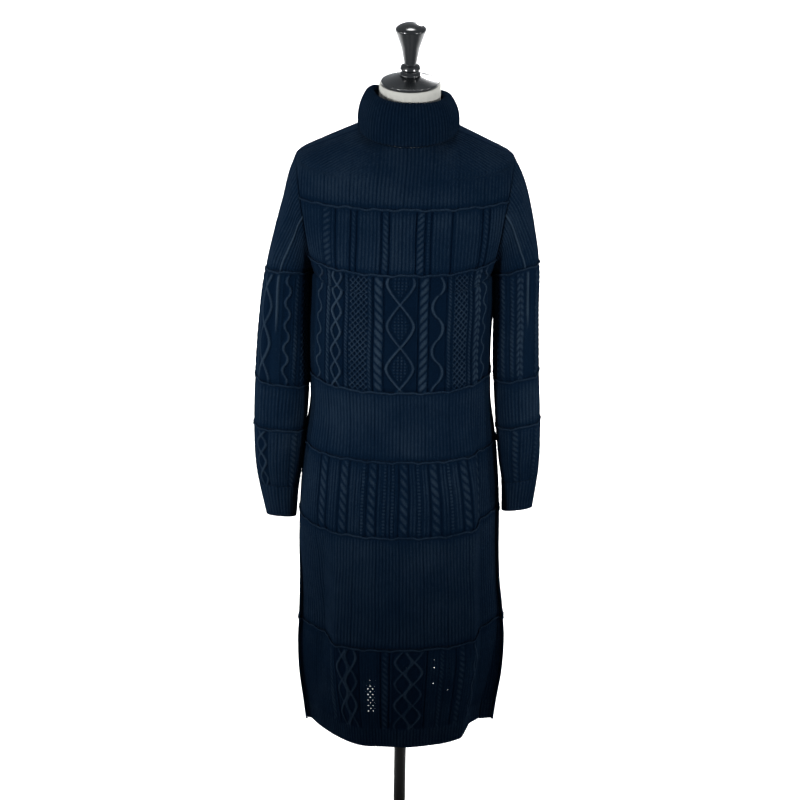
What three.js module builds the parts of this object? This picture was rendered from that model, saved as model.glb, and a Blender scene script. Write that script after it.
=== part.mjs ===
// A long sweater dress with a folded neck, knitted in level bands of ribs and cables that are
// joined by raised seams, standing on a limbless dress form with a turned finial, a pole and a
// round base. Millimetres, +Z up. The front faces -Y, +X is on the viewer's right, and the
// origin is under the middle of the base.
import * as THREE from 'three';

// A short table: the names of its columns, then a row for each section, fold or motif.
const table = (names, rows) => rows.map(
  (row) => Object.fromEntries(names.map((name, i) => [name, row[i]])),
);

// Cloth
const WALL = 2.6; // thickness of the knitted wall
const HALF_GAP = 0.2; // each edge stands this far back from its seam line
const RIB_LIFT = 1.3; // how far a rib stands out of the wall
const CABLE_LIFT = 2.8; // how far a cable's crest stands out
const TRAVELLING_LIFT = 2.2; // how far a line that wanders over the cloth stands out
const LIP_LIFT = 3.6; // the raised edge along the top of a band
const LIP_DROP = 6; // height over which that edge falls back to the wall
const ROUNDNESS = 2.3; // exponent of the body's level sections, 2 being an ellipse

// Spacing of the panels' columns, in shares of half a panel
const LEAST_STEP = 0.006;
const FOLD_CLEARANCE = 0.018;
const INSIDE_STEP = 0.13;

// Heights of the seams on the body, above the floor
const HEM = 302;
const SEAM_BORDER = 515;
const SEAM_SKIRT = 739;
const SEAM_HIP = 880;
const SEAM_WAIST = 1017;
const SEAM_ARAN = 1242;
const SEAM_YOKE = 1352;
const UNDERARM = 1205;
const SHOULDER = 1411;
const NECK = 1466;

// Sections of the body. side, front and back are the heights of one ring at its sides and at its
// two middles, left and right are X at its sides, ahead and behind are its depths, and heel is
// how far the ring rises to the right, per millimetre.
const BODY = table(['side', 'front', 'back', 'left', 'right', 'mid', 'ahead', 'behind', 'heel'], [
  [HEM, HEM, 304, -175, 171, -6, 112, 116, 0.015],
  [345, 345, 345, -180, 176, -6, 116, 118, 0.017],
  [400, 400, 400, -187, 184, -6, 123, 119, 0.02],
  [465, 465, 465, -190, 187, -5, 128, 120, 0.023],
  [SEAM_BORDER, 515, 515, -188, 184, -5, 130, 120, 0.025],
  [600, 600, 600, -186, 175, -5, 130, 119, 0.018],
  [673, 673, 673, -187, 172, -6, 128, 118, 0.013],
  [SEAM_SKIRT, 739, 739, -186, 171, -7, 124, 115, 0.011],
  [800, 800, 800, -183, 168, -7, 117, 111, 0.006],
  [SEAM_HIP, 880, 880, -177, 161, -8, 108, 103, 0],
  [960, 960, 960, -167, 150, -9, 109, 99, 0],
  [1100, 1100, 1100, -165, 147, -10, 122, 102, 0],
  [UNDERARM, 1205, 1205, -163, 146, -11, 127, 104, 0],
  [SEAM_ARAN, 1242, 1242, -165, 148, -11, 127, 104, 0],
  [SEAM_YOKE, 1352, 1352, -185, 172, -8, 103, 100, 0],
  [SHOULDER, 1398, 1406, -193, 180, -5, 86, 92, 0],
  [1431, 1420, 1432, -153, 142, -3, 78, 84, 0],
  [1448, 1437, 1453, -111, 104, -2, 71, 74, 0],
  [NECK, 1450, 1472, -68, 65, -2, 65, 63, 0],
]);
const SIDE_Y = 2; // where the front meets the back
const LEAST_MITRE = 0.5; // keeps a corner of the armhole from growing past twice the wall
const BESIDE_ARMHOLE = 0.97; // where across the panel the cloth beside the armhole is measured

// Long folds that the skirt and the chest hang in. at is the place across the panel, from -1 at
// its left edge to 1 at its right, and top and full are the heights at which a fold begins and
// has reached its depth. Behind a step the cloth stays back as far as the side; flank is how
// wide the step is, and flankAtHem how wide it becomes.
const STEPS = table(['face', 'at', 'lean', 'flank', 'flankAtHem', 'depth', 'top', 'full'], [
  ['front', 0.54, 0.12, 0.05, 0.13, 60, 960, 540],
  ['front', -0.5, 0.02, 0.055, 0.13, 45, 800, 520],
]);
const TROUGHS = table(['face', 'at', 'inner', 'outer', 'depth', 'top', 'full'], [
  ['front', -0.12, 0.16, 0.14, 4, 640, 330],
  ['front', 0.24, 0.12, 0.12, 4, 760, 420],
  ['back', -0.5, 0.07, 0.17, 24, 960, 520],
  ['back', 0.08, 0.15, 0.13, 15, 860, 430],
  ['back', 0.63, 0.08, 0.14, 21, 890, 600],
]);
const CHEST_FOLDS = table(['face', 'at', 'width', 'depth', 'middle', 'reach'], [
  ['front', 0.74, 0.1, 9, 1110, 120],
  ['front', -0.76, 0.11, 8, 1130, 110],
  ['back', 0.72, 0.12, 8, 1120, 120],
  ['back', -0.7, 0.12, 9, 1100, 120],
]);
const SIDE_FADE = 0.14; // share of the panel over which every fold ends at the side
const MOST_FOLDED = 0.9; // a fold takes at most this share of the depth at its place

// Columns that follow a deep fold, so that its flanks keep their shape: in flanks on either side
// of a step, and in widths on either side of a trough. A fold less deep, or one that begins just
// above the panel's lower edge, needs none.
const STEP_COLUMNS = [-1.5, -0.8, 0, 0.8, 1.7];
const TROUGH_COLUMNS = { inner: [-2, -0.9], outer: [0, 0.7, 1.5] };
const DEEP_FOLD = 10;
const FOLD_START = 30;

// The armholes: ellipses from the shoulder tip to the underarm.
const ARMHOLE_AHEAD = 58;
const ARMHOLE_BEHIND = 60;
const STEPS_PER_ZONE = 3; // edges of the armhole between two seams, on the front and the back

// Sleeves. Each ring runs from an outer point to an inner point beside the body, at those
// heights, and is ahead and behind deep. lift is how far the ring rises towards the front, per
// millimetre, round the exponent of its section, and reach counts along the sleeve.
const SLEEVE_COLUMNS = ['reach', 'outX', 'outZ', 'inX', 'inZ', 'ahead', 'behind', 'lift', 'round'];
const LEFT_SLEEVE = table(SLEEVE_COLUMNS, [
  [0, -193, SHOULDER, -163, UNDERARM, 58, 60, 0, 2],
  [6, -205, 1377, -167, 1203, 60, 62, 0.1, 2.1],
  [12, -214, 1337, -169, 1201, 61, 63, 0.16, 2.2],
  [20, -228, 1281, -170.5, 1200, 62, 64, 0.24, 2.3],
  [30, -245, 1202, -171.5, 1197, 62, 64, 0.3, 2.4],
  [45, -256, 1115, -172, 1108, 61, 63, 0.22, 2.4],
  [62, -264, 1003, -173, 988, 60, 61, 0.12, 2.4],
  [75, -267, 907, -182.5, 898, 57, 58, 0.2, 2.4],
  [85, -265, 835, -189, 826, 51, 52, 0.24, 2.4],
  [92, -259, 789, -191.5, 782, 43, 44, 0.28, 2.4],
  [100, -246, 724, -194, 720, 34, 35, 0.34, 2.5],
]);
const RIGHT_SLEEVE = table(SLEEVE_COLUMNS, [
  [0, 180, SHOULDER, 146, UNDERARM, 58, 60, 0, 2],
  [6, 196, 1377, 150, 1203, 60, 62, 0.1, 2.1],
  [12, 207, 1340, 152, 1201, 61, 63, 0.16, 2.2],
  [20, 217.5, 1288, 153.5, 1200, 62, 64, 0.22, 2.3],
  [30, 227.5, 1221, 154.5, 1198, 62, 64, 0.27, 2.4],
  [45, 229.5, 1131, 154, 1112, 61, 63, 0.22, 2.4],
  [62, 233.5, 1017, 155.5, 1003, 60, 61, 0.14, 2.4],
  [75, 238.5, 922, 165, 908, 57, 58, 0.2, 2.4],
  [85, 239, 855, 172, 842, 51, 52, 0.24, 2.4],
  [92, 237.5, 808, 175, 796, 43, 44, 0.28, 2.4],
  [100, 230, 745, 177, 737, 34, 35, 0.34, 2.5],
]);
// A crease down the front of each sleeve, at and width in degrees round from the outer point.
const SLEEVE_CREASE = { at: 52, width: 13, height: 5, end: 96, fade: 20 };
const SLEEVE_CABLES = { steady: 0.6, wave: 0.4, pace: 0.8 }; // how high its cables' crests run
const LIP_REACH = 1; // how soon the raised edge falls back, along the sleeve
const SLEEVE_SEAMS = { cap: 30, aran: 62, rib: 75, cable: 92, cuff: 100 };

// The folded neck, as its section from the neck seam up, over the fold, down the outside and
// back up under it. out is the distance from the neck seam, rise the share of the way up to the
// crest, counted from the neck seam or from the foot of the turned-down outside.
const NECK_SECTION = table(['out', 'rise', 'from', 'ribbed'], [
  [-WALL, 0, 'seam', false],
  [-6, 0.45, 'seam', false],
  [-9, 0.9, 'seam', false],
  [-4, 1, 'seam', false],
  [9, 0.84, 'foot', true],
  [19, 0.42, 'foot', true],
  [19.5, 0, 'foot', true],
  [15.6, 0.02, 'foot', false],
  [14.4, 0.4, 'foot', false],
  [-1, 0.88, 'seam', false],
  [-2.6, 0.45, 'seam', false],
  [0, 0, 'seam', false],
]);
const NECK_CREST = { front: 1527, right: 1522, back: 1508, left: 1533 };
const NECK_FOOT = { front: 1460, right: 1464, back: 1448, left: 1464 };
const NECK_CLEARANCE = 3; // between the foot of the fold and the yoke below it
const NECK_RIBS = 28;

// Dress form, pole, base and finial
const FORM = table(['height', 'left', 'right', 'ahead', 'behind'], [
  [800, -132, 130, 88, 92],
  [880, -135, 132, 88, 90],
  [960, -122, 119, 80, 78],
  [1020, -112, 108, 80, 74],
  [1120, -122, 118, 96, 82],
  [1205, -134, 126, 109, 90],
  [1280, -140, 130, 102, 92],
  [1352, -150, 141, 88, 88],
  [1400, -155, 146, 76, 78],
]);
const FORM_SEAT = 0.5; // the shoulders of the dress lie this far above the form
const FORM_RELIEF = 4; // and its middle stands this much further off
const FORM_NECK = { foot: 1484, top: 1542, radius: 52.5 };
const FORM_SQUARENESS = 0.9; // under 1 fills out the corners of its level sections
const SEAT_ROWS = [1431, 1448, NECK]; // where the yoke rests on it
const PART_GAP = 0.3; // between one hard piece and the next
const POLE = { radius: 11, sides: 16 };

// Profiles of the turned pieces: radius, and height above the piece's own foot.
const PROFILE = ['radius', 'rise'];
const CAP = table(PROFILE, [[49.3, 0], [49.3, 5], [29.6, 10.5], [18, 15]]);
const FINIAL = table(PROFILE, [
  [17.2, 0], [17.2, 3], [13, 7], [16.3, 12], [14.7, 17], [9.8, 20], [15.8, 50], [25, 79.4],
  [24, 82.4], [19, 81.9],
]);
const FLANGE = table(PROFILE, [[46, 0], [46, 6]]);
const BASE = table(PROFILE, [[170, 0], [170, 9], [167, 12], [30, 14], [24, 22], [20, 46]]);
const FINE_SIDES = 32;
const FINIAL_SIDES = 20;
const FLANGE_SIDES = 16;

// Reads one column of a table at any key, on a smooth curve through its rows.
function column(table, key, name) {
  return (at) => {
    const last = table.length - 1;
    let i = 0;
    while (i < last - 1 && at > table[i + 1][key]) i += 1;
    const [a, b] = [table[i], table[i + 1]];
    const before = table[Math.max(i - 1, 0)];
    const after = table[Math.min(i + 2, last)];
    const span = b[key] - a[key];
    const t = THREE.MathUtils.clamp((at - a[key]) / span, -0.02, 1.02);
    const slopeA = ((b[name] - before[name]) / (b[key] - before[key])) * span;
    const slopeB = ((after[name] - a[name]) / (after[key] - a[key])) * span;
    const t2 = t * t;
    const t3 = t2 * t;
    return (2 * t3 - 3 * t2 + 1) * a[name] + (t3 - 2 * t2 + t) * slopeA
      + (3 * t2 - 2 * t3) * b[name] + (t3 - t2) * slopeB;
  };
}

const bodyAt = Object.fromEntries(
  Object.keys(BODY[0]).map((name) => [name, column(BODY, 'side', name)]),
);

const power = (value, exponent) => Math.sign(value) * Math.abs(value) ** exponent;

// The armhole of one hand lies in a plane, which its half height and the Y axis span.
function armholeFrame(hand) {
  const start = (hand === 'left' ? LEFT_SLEEVE : RIGHT_SLEEVE)[0];
  const half = new THREE.Vector3((start.outX - start.inX) / 2, 0, (start.outZ - start.inZ) / 2);
  const middle = new THREE.Vector3((start.outX + start.inX) / 2, SIDE_Y, (start.outZ + start.inZ) / 2);
  const away = new THREE.Vector3(half.z, 0, -half.x).normalize();
  if (hand === 'left') away.negate();
  return { half, middle, away };
}
const ARMHOLES = { left: armholeFrame('left'), right: armholeFrame('right') };
const armholeDepth = (face) => (face === 'front' ? -ARMHOLE_AHEAD : ARMHOLE_BEHIND);

// A point of the armhole, at an angle from the shoulder tip round to the underarm.
function armholePoint(hand, face, angle) {
  const { half, middle } = ARMHOLES[hand];
  const point = middle.clone().addScaledVector(half, Math.cos(angle));
  point.y += armholeDepth(face) * Math.sin(angle);
  return point;
}

const armholeAngle = (height) => Math.acos(
  THREE.MathUtils.clamp((2 * height - SHOULDER - UNDERARM) / (SHOULDER - UNDERARM), -1, 1),
);

// Angles at which the armhole has a corner: evenly spaced between the seams that end on it.
const ARMHOLE_ANGLES = [SHOULDER, SEAM_YOKE, SEAM_ARAN, UNDERARM].map(armholeAngle)
  .flatMap((angle, i, all) => (i === 0 ? [angle] : Array.from(
    { length: STEPS_PER_ZONE },
    (_, k) => THREE.MathUtils.lerp(all[i - 1], angle, (k + 1) / STEPS_PER_ZONE),
  )));
const armholeHeight = (angle) => armholePoint('left', 'front', angle).z;

// Half of one level section, from its middle to its side, with its length worked out.
function halfSection(face, hand, side) {
  const front = face === 'front';
  const depth = front ? bodyAt.ahead(side) : bodyAt.behind(side);
  const mid = bodyAt.mid(side);
  let edge = new THREE.Vector3(bodyAt[hand](side), SIDE_Y, side);
  if (side > UNDERARM && side < SHOULDER) edge = armholePoint(hand, face, armholeAngle(side));
  const share = Math.min(Math.abs(edge.y - SIDE_Y) / depth, 1);
  const end = Math.acos(share ** (ROUNDNESS / 2));
  const width = (edge.x - mid) / Math.sin(end) ** (2 / ROUNDNESS);
  const steps = 40;
  const points = [];
  const lengths = [0];
  for (let i = 0; i <= steps; i += 1) {
    const angle = (end * i) / steps;
    points.push(new THREE.Vector2(
      mid + width * power(Math.sin(angle), 2 / ROUNDNESS),
      SIDE_Y + (front ? -1 : 1) * depth * power(Math.cos(angle), 2 / ROUNDNESS),
    ));
    if (i > 0) lengths.push(lengths[i - 1] + points[i].distanceTo(points[i - 1]));
  }
  return { points, lengths, total: lengths[steps] };
}

const sectionCache = new Map();
function sectionPoint(face, hand, side, share) {
  const key = `${face}${hand}${side.toFixed(4)}`;
  if (!sectionCache.has(key)) sectionCache.set(key, halfSection(face, hand, side));
  const { points, lengths, total } = sectionCache.get(key);
  const want = THREE.MathUtils.clamp(share, 0, 1) * total;
  let i = 0;
  while (i < lengths.length - 2 && lengths[i + 1] < want) i += 1;
  const t = (want - lengths[i]) / (lengths[i + 1] - lengths[i]);
  return points[i].clone().lerp(points[i + 1], t);
}

const smooth = (t) => {
  const c = THREE.MathUtils.clamp(t, 0, 1);
  return c * c * (3 - 2 * c);
};

const foldShare = (fold, side) => smooth((fold.top - side) / (fold.top - fold.full));
const stepAt = (fold, side) => fold.at + Math.sign(fold.at) * fold.lean * ((side - HEM) / (fold.top - HEM));
const stepFlank = (fold, side) => THREE.MathUtils.lerp(
  fold.flankAtHem,
  fold.flank,
  smooth((side - HEM) / (SEAM_BORDER - HEM)),
);

// How far the folds push the cloth in at one place.
function foldDepth(face, across, side) {
  let depth = 0;
  for (const fold of STEPS.filter((f) => f.face === face)) {
    const past = (across - stepAt(fold, side)) * Math.sign(fold.at);
    const flank = stepFlank(fold, side);
    depth += fold.depth * foldShare(fold, side) * smooth((past + flank) / (2 * flank));
  }
  for (const fold of TROUGHS.filter((f) => f.face === face)) {
    const off = (across - fold.at) * Math.sign(fold.at);
    const width = off < 0 ? fold.inner : fold.outer;
    depth += fold.depth * foldShare(fold, side) * Math.exp(-((off / width) ** 2));
  }
  for (const fold of CHEST_FOLDS.filter((f) => f.face === face)) {
    const off = (across - fold.at) / fold.width;
    const along = (side - fold.middle) / fold.reach;
    depth += fold.depth * Math.exp(-(off ** 2) - along ** 4);
  }
  return depth;
}

// A point of the dress's body. across runs from -1 at the left edge to 1 at the right one.
function bodyPoint(face, across, side) {
  const hand = across < 0 ? 'left' : 'right';
  const here = sectionPoint(face, hand, side, Math.abs(across));
  const room = Math.abs(here.y - SIDE_Y) * MOST_FOLDED;
  const fade = smooth((1 - Math.abs(across)) / SIDE_FADE);
  const depth = Math.min(foldDepth(face, across, side), room) * fade;
  const middle = face === 'front' ? bodyAt.front(side) : bodyAt.back(side);
  const height = middle + (side - middle) * across * across + bodyAt.heel(side) * (here.x - bodyAt.mid(side));
  return new THREE.Vector3(here.x, here.y + (face === 'front' ? depth : -depth), height);
}

// The direction out of the cloth, from points just beside this one.
function bodyNormal(face, across, side) {
  const da = 0.01;
  const ds = 1.5;
  const a1 = Math.min(across + da, 1);
  const a0 = Math.max(across - da, -1);
  const s1 = Math.min(side + ds, NECK);
  const s0 = Math.max(side - ds, HEM);
  const overX = bodyPoint(face, a1, side).sub(bodyPoint(face, a0, side));
  const overZ = bodyPoint(face, across, s1).sub(bodyPoint(face, across, s0));
  const normal = overX.cross(overZ).normalize();
  if (face === 'back') normal.negate();
  if (Math.abs(across) > 0.999) normal.setY(0).normalize();
  return normal;
}

const sleeveAt = Object.fromEntries([['left', LEFT_SLEEVE], ['right', RIGHT_SLEEVE]].map(([hand, rows]) => [
  hand,
  Object.fromEntries(SLEEVE_COLUMNS.map((name) => [name, column(rows, 'reach', name)])),
]));

// The two directions that a sleeve's ring lies in, and its middle: out from its inner point to
// its outer one, and forwards, which rises a little.
function ringFrame(hand, reach) {
  const at = sleeveAt[hand];
  const outer = new THREE.Vector3(at.outX(reach), SIDE_Y, at.outZ(reach));
  const inner = new THREE.Vector3(at.inX(reach), SIDE_Y, at.inZ(reach));
  return {
    middle: inner.clone().lerp(outer, 0.5),
    out: outer.sub(inner).multiplyScalar(0.5),
    forward: new THREE.Vector3(0, -1, at.lift(reach)),
  };
}

// A point of a sleeve. turn is the angle from the outer point, over the front, round to 2 pi.
function sleevePoint(hand, turn, reach) {
  const at = sleeveAt[hand];
  const { middle, out, forward } = ringFrame(hand, reach);
  const exponent = 2 / at.round(reach);
  const c = power(Math.cos(turn), exponent);
  const s = power(Math.sin(turn), exponent);
  const degrees = (THREE.MathUtils.radToDeg(turn) - SLEEVE_CREASE.at) / SLEEVE_CREASE.width;
  const { end, fade } = SLEEVE_CREASE;
  const along = smooth(reach / fade) * smooth((end - reach) / fade);
  const crease = SLEEVE_CREASE.height * along * Math.exp(-(degrees ** 2)) * Math.SQRT1_2;
  const depth = (s > 0 ? at.ahead(reach) : at.behind(reach)) * s;
  return middle.addScaledVector(out, c + crease / out.length()).addScaledVector(forward, depth + crease);
}

// The direction down a sleeve, square to the plane of its ring.
function ringAxis(hand, reach) {
  const { out, forward } = ringFrame(hand, reach);
  const axis = out.cross(forward).normalize();
  return axis.z > 0 ? axis.negate() : axis;
}

function sleeveNormal(hand, turn, reach) {
  const dt = 0.03;
  const dr = 0.6;
  const r1 = Math.min(reach + dr, SLEEVE_SEAMS.cuff);
  const r0 = Math.max(reach - dr, 0);
  const round = sleevePoint(hand, turn + dt, reach).sub(sleevePoint(hand, turn - dt, reach));
  const down = sleevePoint(hand, turn, r1).sub(sleevePoint(hand, turn, r0));
  const normal = round.cross(down).normalize();
  return hand === 'left' ? normal.negate() : normal;
}

// What body and sleeve share on an armhole's corner: the direction out of the cloth in the
// armhole's plane, as long as a wall of thickness 1 needs there to stay that thick. Where a seam
// of the body ends, it also lies in that seam's level plane.
function armholeMitre(hand, face, angle) {
  const { half } = ARMHOLES[hand];
  const onSeam = [SEAM_YOKE, SEAM_ARAN].some((seam) => Math.abs(armholeHeight(angle) - seam) < 0.01);
  const out = half.clone().multiplyScalar(onSeam ? 0 : Math.cos(angle) / half.lengthSq());
  out.y = Math.sin(angle) / armholeDepth(face);
  out.normalize();
  const side = THREE.MathUtils.clamp(armholeHeight(angle), UNDERARM + 1, SHOULDER - 1);
  const cloth = bodyNormal(face, (hand === 'left' ? -1 : 1) * BESIDE_ARMHOLE, side);
  return out.multiplyScalar(1 / Math.max(out.dot(cloth), LEAST_MITRE));
}

// Joins two rows of corners that start and end together. Each corner has its place along the
// row, so that the longer row's corners go to the nearest of the shorter one's.
function stitch(triangles, first, second, secondLeads) {
  let i = 0;
  let j = 0;
  while (i < first.length - 1 || j < second.length - 1) {
    const nextI = i < first.length - 1 ? first[i + 1].place : Infinity;
    const nextJ = j < second.length - 1 ? second[j + 1].place : Infinity;
    const tie = Math.abs(nextI - nextJ) < 1e-9;
    if (tie ? !secondLeads : nextI < nextJ) {
      triangles.push(first[i].id, first[i + 1].id, second[j].id);
      i += 1;
    } else {
      triangles.push(first[i].id, second[j + 1].id, second[j].id);
      j += 1;
    }
  }
}

const reversed = (row) => [...row].reverse();
const backwards = (row) => reversed(row).map(({ id, place }) => ({ id, place: -place }));

// A wall with an outer and an inner grid. Each has rows of points from bottom to top, the
// heights of its rows and the places of its columns, which run so that the outer face looks
// outwards. A round wall closes on itself.
function wall(outer, inner, round = false) {
  const positions = [];
  const number = (grid) => grid.points.map((row, r) => {
    const corners = row.map((p, c) => {
      positions.push(p.x, p.y, p.z);
      return { id: positions.length / 3 - 1, place: grid.places[r][c] };
    });
    return round ? [...corners, { id: corners[0].id, place: 1 }] : corners;
  });
  const [out, back] = [number(outer), number(inner)];
  const triangles = [];
  const face = (grid, flip) => {
    for (let r = 0; r < grid.length - 1; r += 1) {
      for (let c = 0; c < grid[r].length - 1; c += 1) {
        const quad = [grid[r][c].id, grid[r][c + 1].id, grid[r + 1][c + 1].id, grid[r + 1][c].id];
        const [a, b, d, e] = flip ? reversed(quad) : quad;
        triangles.push(a, b, d, a, d, e);
      }
    }
  };
  face(out, false);
  face(back, true);
  stitch(triangles, backwards(out[0]), backwards(back[0]), false);
  stitch(triangles, out[out.length - 1], back[back.length - 1], false);
  if (!round) {
    const column = (grid, heights, last) => grid.map((row, r) => (
      { id: row[last ? row.length - 1 : 0].id, place: heights[r] }
    ));
    stitch(triangles, column(out, outer.heights, false), column(back, inner.heights, false), true);
    stitch(
      triangles,
      backwards(column(out, outer.heights, true)),
      backwards(column(back, inner.heights, true)),
      true,
    );
  }
  return solid(positions, triangles);
}

function solid(positions, triangles) {
  const geometry = new THREE.BufferGeometry();
  geometry.setAttribute('position', new THREE.Float32BufferAttribute(positions, 3));
  geometry.setIndex(triangles);
  geometry.computeVertexNormals();
  return geometry;
}

// The place across a panel that has a share of the cloth between it and the panel's middle.
// The cloth in the folds counts, so that ribs stay evenly spaced on it.
const clothCache = new Map();
function acrossAt(face, side, share) {
  if (share === 0) return 0;
  const hand = Math.sign(share);
  const key = `${face}${hand}${side.toFixed(4)}`;
  if (!clothCache.has(key)) {
    const steps = 80;
    const lengths = [0];
    for (let i = 1; i <= steps; i += 1) {
      const step = bodyPoint(face, (hand * i) / steps, side)
        .distanceTo(bodyPoint(face, (hand * (i - 1)) / steps, side));
      lengths.push(lengths[i - 1] + step);
    }
    clothCache.set(key, lengths);
  }
  const lengths = clothCache.get(key);
  const steps = lengths.length - 1;
  const want = Math.min(Math.abs(share), 1) * lengths[steps];
  let i = 0;
  while (i < steps - 1 && lengths[i + 1] < want) i += 1;
  return (hand * (i + (want - lengths[i]) / (lengths[i + 1] - lengths[i]))) / steps;
}

// One point of a body panel's wall, set back from the panel's own seams. Along a seam the wall
// ends on a plane, level or heeled, so that the next panel's end lies flat against it. Only the
// neck's seam isn't plane.
function panelPoint(face, across, side, lift, ends) {
  const hand = across < 0 ? 'left' : 'right';
  const point = bodyPoint(face, across, side);
  const normal = bodyNormal(face, across, side);
  if (side === ends.low || side === ends.high) {
    point.z += side === ends.low ? HALF_GAP : -HALF_GAP;
    if (side !== NECK) normal.setZ(bodyAt.heel(side) * normal.x).normalize();
  }
  if (Math.abs(across) === 1) {
    const onArmhole = side >= UNDERARM && side <= SHOULDER;
    if (onArmhole) {
      normal.copy(armholeMitre(hand, face, armholeAngle(side)));
      point.addScaledVector(ARMHOLES[hand].away, -HALF_GAP);
    }
    if (!onArmhole || side === UNDERARM || side === SHOULDER) {
      point.y += face === 'front' ? -HALF_GAP : HALF_GAP;
    }
  }
  return point.addScaledVector(normal, lift);
}

// The places of one row's columns, in order and a little apart.
function rowPlaces(face, side, columns) {
  const places = columns.map((c) => (c.place ? c.place(side) : acrossAt(face, side, c.at(side))));
  places[places.length - 1] = 1;
  for (let i = 1; i < places.length - 1; i += 1) {
    places[i] = Math.max(places[i], places[i - 1] + LEAST_STEP);
  }
  for (let i = places.length - 2; i > 0; i -= 1) {
    places[i] = Math.min(places[i], places[i + 1] - LEAST_STEP);
  }
  return places;
}

// A panel's columns, with those that follow its deep folds.
function foldedColumns(face, ends, columns) {
  const deep = (fold) => fold.face === face && fold.depth > DEEP_FOLD
    && fold.top > ends.low + FOLD_START;
  const follow = (place) => ({ place, lift: 0, inside: true });
  const fixed = [
    ...STEPS.filter(deep).flatMap((fold) => STEP_COLUMNS.map((off) => follow(
      (side) => stepAt(fold, side) + Math.sign(fold.at) * off * stepFlank(fold, side),
    ))),
    ...TROUGHS.filter(deep).flatMap((fold) => [
      ...TROUGH_COLUMNS.inner.map((off) => off * fold.inner),
      ...TROUGH_COLUMNS.outer.map((off) => off * fold.outer),
    ].map((off) => follow(() => fold.at + Math.sign(fold.at) * off))),
  ];
  const reference = (ends.low + ends.high) / 2;
  const placeOf = (c) => (c.place ? c.place(reference) : acrossAt(face, reference, c.at(reference)));
  const kept = columns.filter((c) => c.edge
    || fixed.every((f) => Math.abs(placeOf(f) - placeOf(c)) > FOLD_CLEARANCE));
  return [...kept, ...fixed].sort((a, b) => placeOf(a) - placeOf(b));
}

// The columns that the plain inside keeps: those of the folds, and some of the others.
function insideColumns(face, side, columns) {
  const places = rowPlaces(face, side, columns);
  let last = -Infinity;
  return columns.filter((c, i) => {
    const near = places[i] - last < INSIDE_STEP || 1 - places[i] < INSIDE_STEP / 2;
    if (!c.edge && !c.inside && (near || c.lift > 0)) return false;
    last = places[i];
    return true;
  });
}

// A panel between two seams. Each column is a share of the cloth across, which may sway with
// the height, and how far it stands out. The lip is the raised edge along the top.
function panel(face, rows, columns, innerRows, lip) {
  const ends = { low: rows[0], high: rows[rows.length - 1] };
  const turn = face === 'front' ? (row) => row : reversed;
  const grid = (heights, cols, liftOf) => {
    const places = heights.map((side) => rowPlaces(face, side, cols));
    return {
      heights,
      places: places.map((row) => (face === 'front' ? row : reversed(row).map((p) => -p))),
      points: heights.map((side, r) => turn(cols.map(
        (c, i) => panelPoint(face, places[r][i], side, liftOf(c, side), ends),
      ))),
    };
  };
  const folded = foldedColumns(face, ends, columns);
  const outerLift = (c, side) => {
    if (c.edge || side === NECK) return 0;
    return lip && side === ends.high ? Math.max(c.lift, LIP_LIFT) : c.lift;
  };
  const inside = insideColumns(face, (ends.low + ends.high) / 2, folded);
  return wall(grid(rows, folded, outerLift), grid(innerRows, inside, () => -WALL));
}

// Straight ribs: a crest between every two furrows.
function ribColumns(count, lift = RIB_LIFT) {
  return Array.from({ length: 2 * count + 1 }, (_, i) => ({
    at: () => -1 + i / count,
    lift: i % 2 ? lift : 0,
    edge: i === 0 || i === 2 * count,
  }));
}

const EDGES = [{ at: () => -1, lift: 0, edge: true }, { at: () => 1, lift: 0, edge: true }];
const ordered = (columns) => columns.sort((a, b) => a.at(SEAM_WAIST) - b.at(SEAM_WAIST));

// Motifs of the cable band and of the border above the hem, on both sides of the panel's middle:
// where each is, half its width and how far it sways, in shares of half a panel, and its lift.
// period is the height of one lozenge, and phase a height at which they are widest.
const MOTIF = ['at', 'half', 'sway', 'lift'];
const ARAN = {
  period: 80,
  phase: 1177,
  motifs: table(MOTIF, [
    [0.068, 0.02, 0.045, CABLE_LIFT],
    [0.172, 0.032, 0, CABLE_LIFT],
    [0.285, 0.018, 0.04, TRAVELLING_LIFT],
    [0.405, 0.02, 0.02, TRAVELLING_LIFT],
    [0.475, 0.02, -0.02, TRAVELLING_LIFT],
    [0.57, 0.028, 0, CABLE_LIFT],
    [0.69, 0.02, 0.035, TRAVELLING_LIFT],
    [0.83, 0.03, 0, CABLE_LIFT],
  ]),
};
const BORDER = {
  period: 90,
  phase: 435,
  motifs: table(MOTIF, [
    [0.075, 0.02, 0.05, TRAVELLING_LIFT],
    [0.19, 0.028, 0, CABLE_LIFT],
    [0.31, 0.02, 0.03, TRAVELLING_LIFT],
    [0.43, 0.02, -0.03, TRAVELLING_LIFT],
    [0.7, 0.026, 0, CABLE_LIFT],
    [0.84, 0.02, 0.03, TRAVELLING_LIFT],
  ]),
};

// A motif is two feet and a crest, which sway to and fro together once a period.
function motifColumns({ period, phase, motifs }) {
  const columns = motifs.flatMap(({ at, half, sway, lift }) => [-1, 1].flatMap((hand) => {
    const centre = (side) => hand * (at + sway * Math.cos((2 * Math.PI * (side - phase)) / period));
    return [
      { at: (side) => centre(side) - half, lift: 0 },
      { at: centre, lift },
      { at: (side) => centre(side) + half, lift: 0 },
    ];
  }));
  return ordered([...columns, ...EDGES]);
}

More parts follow.
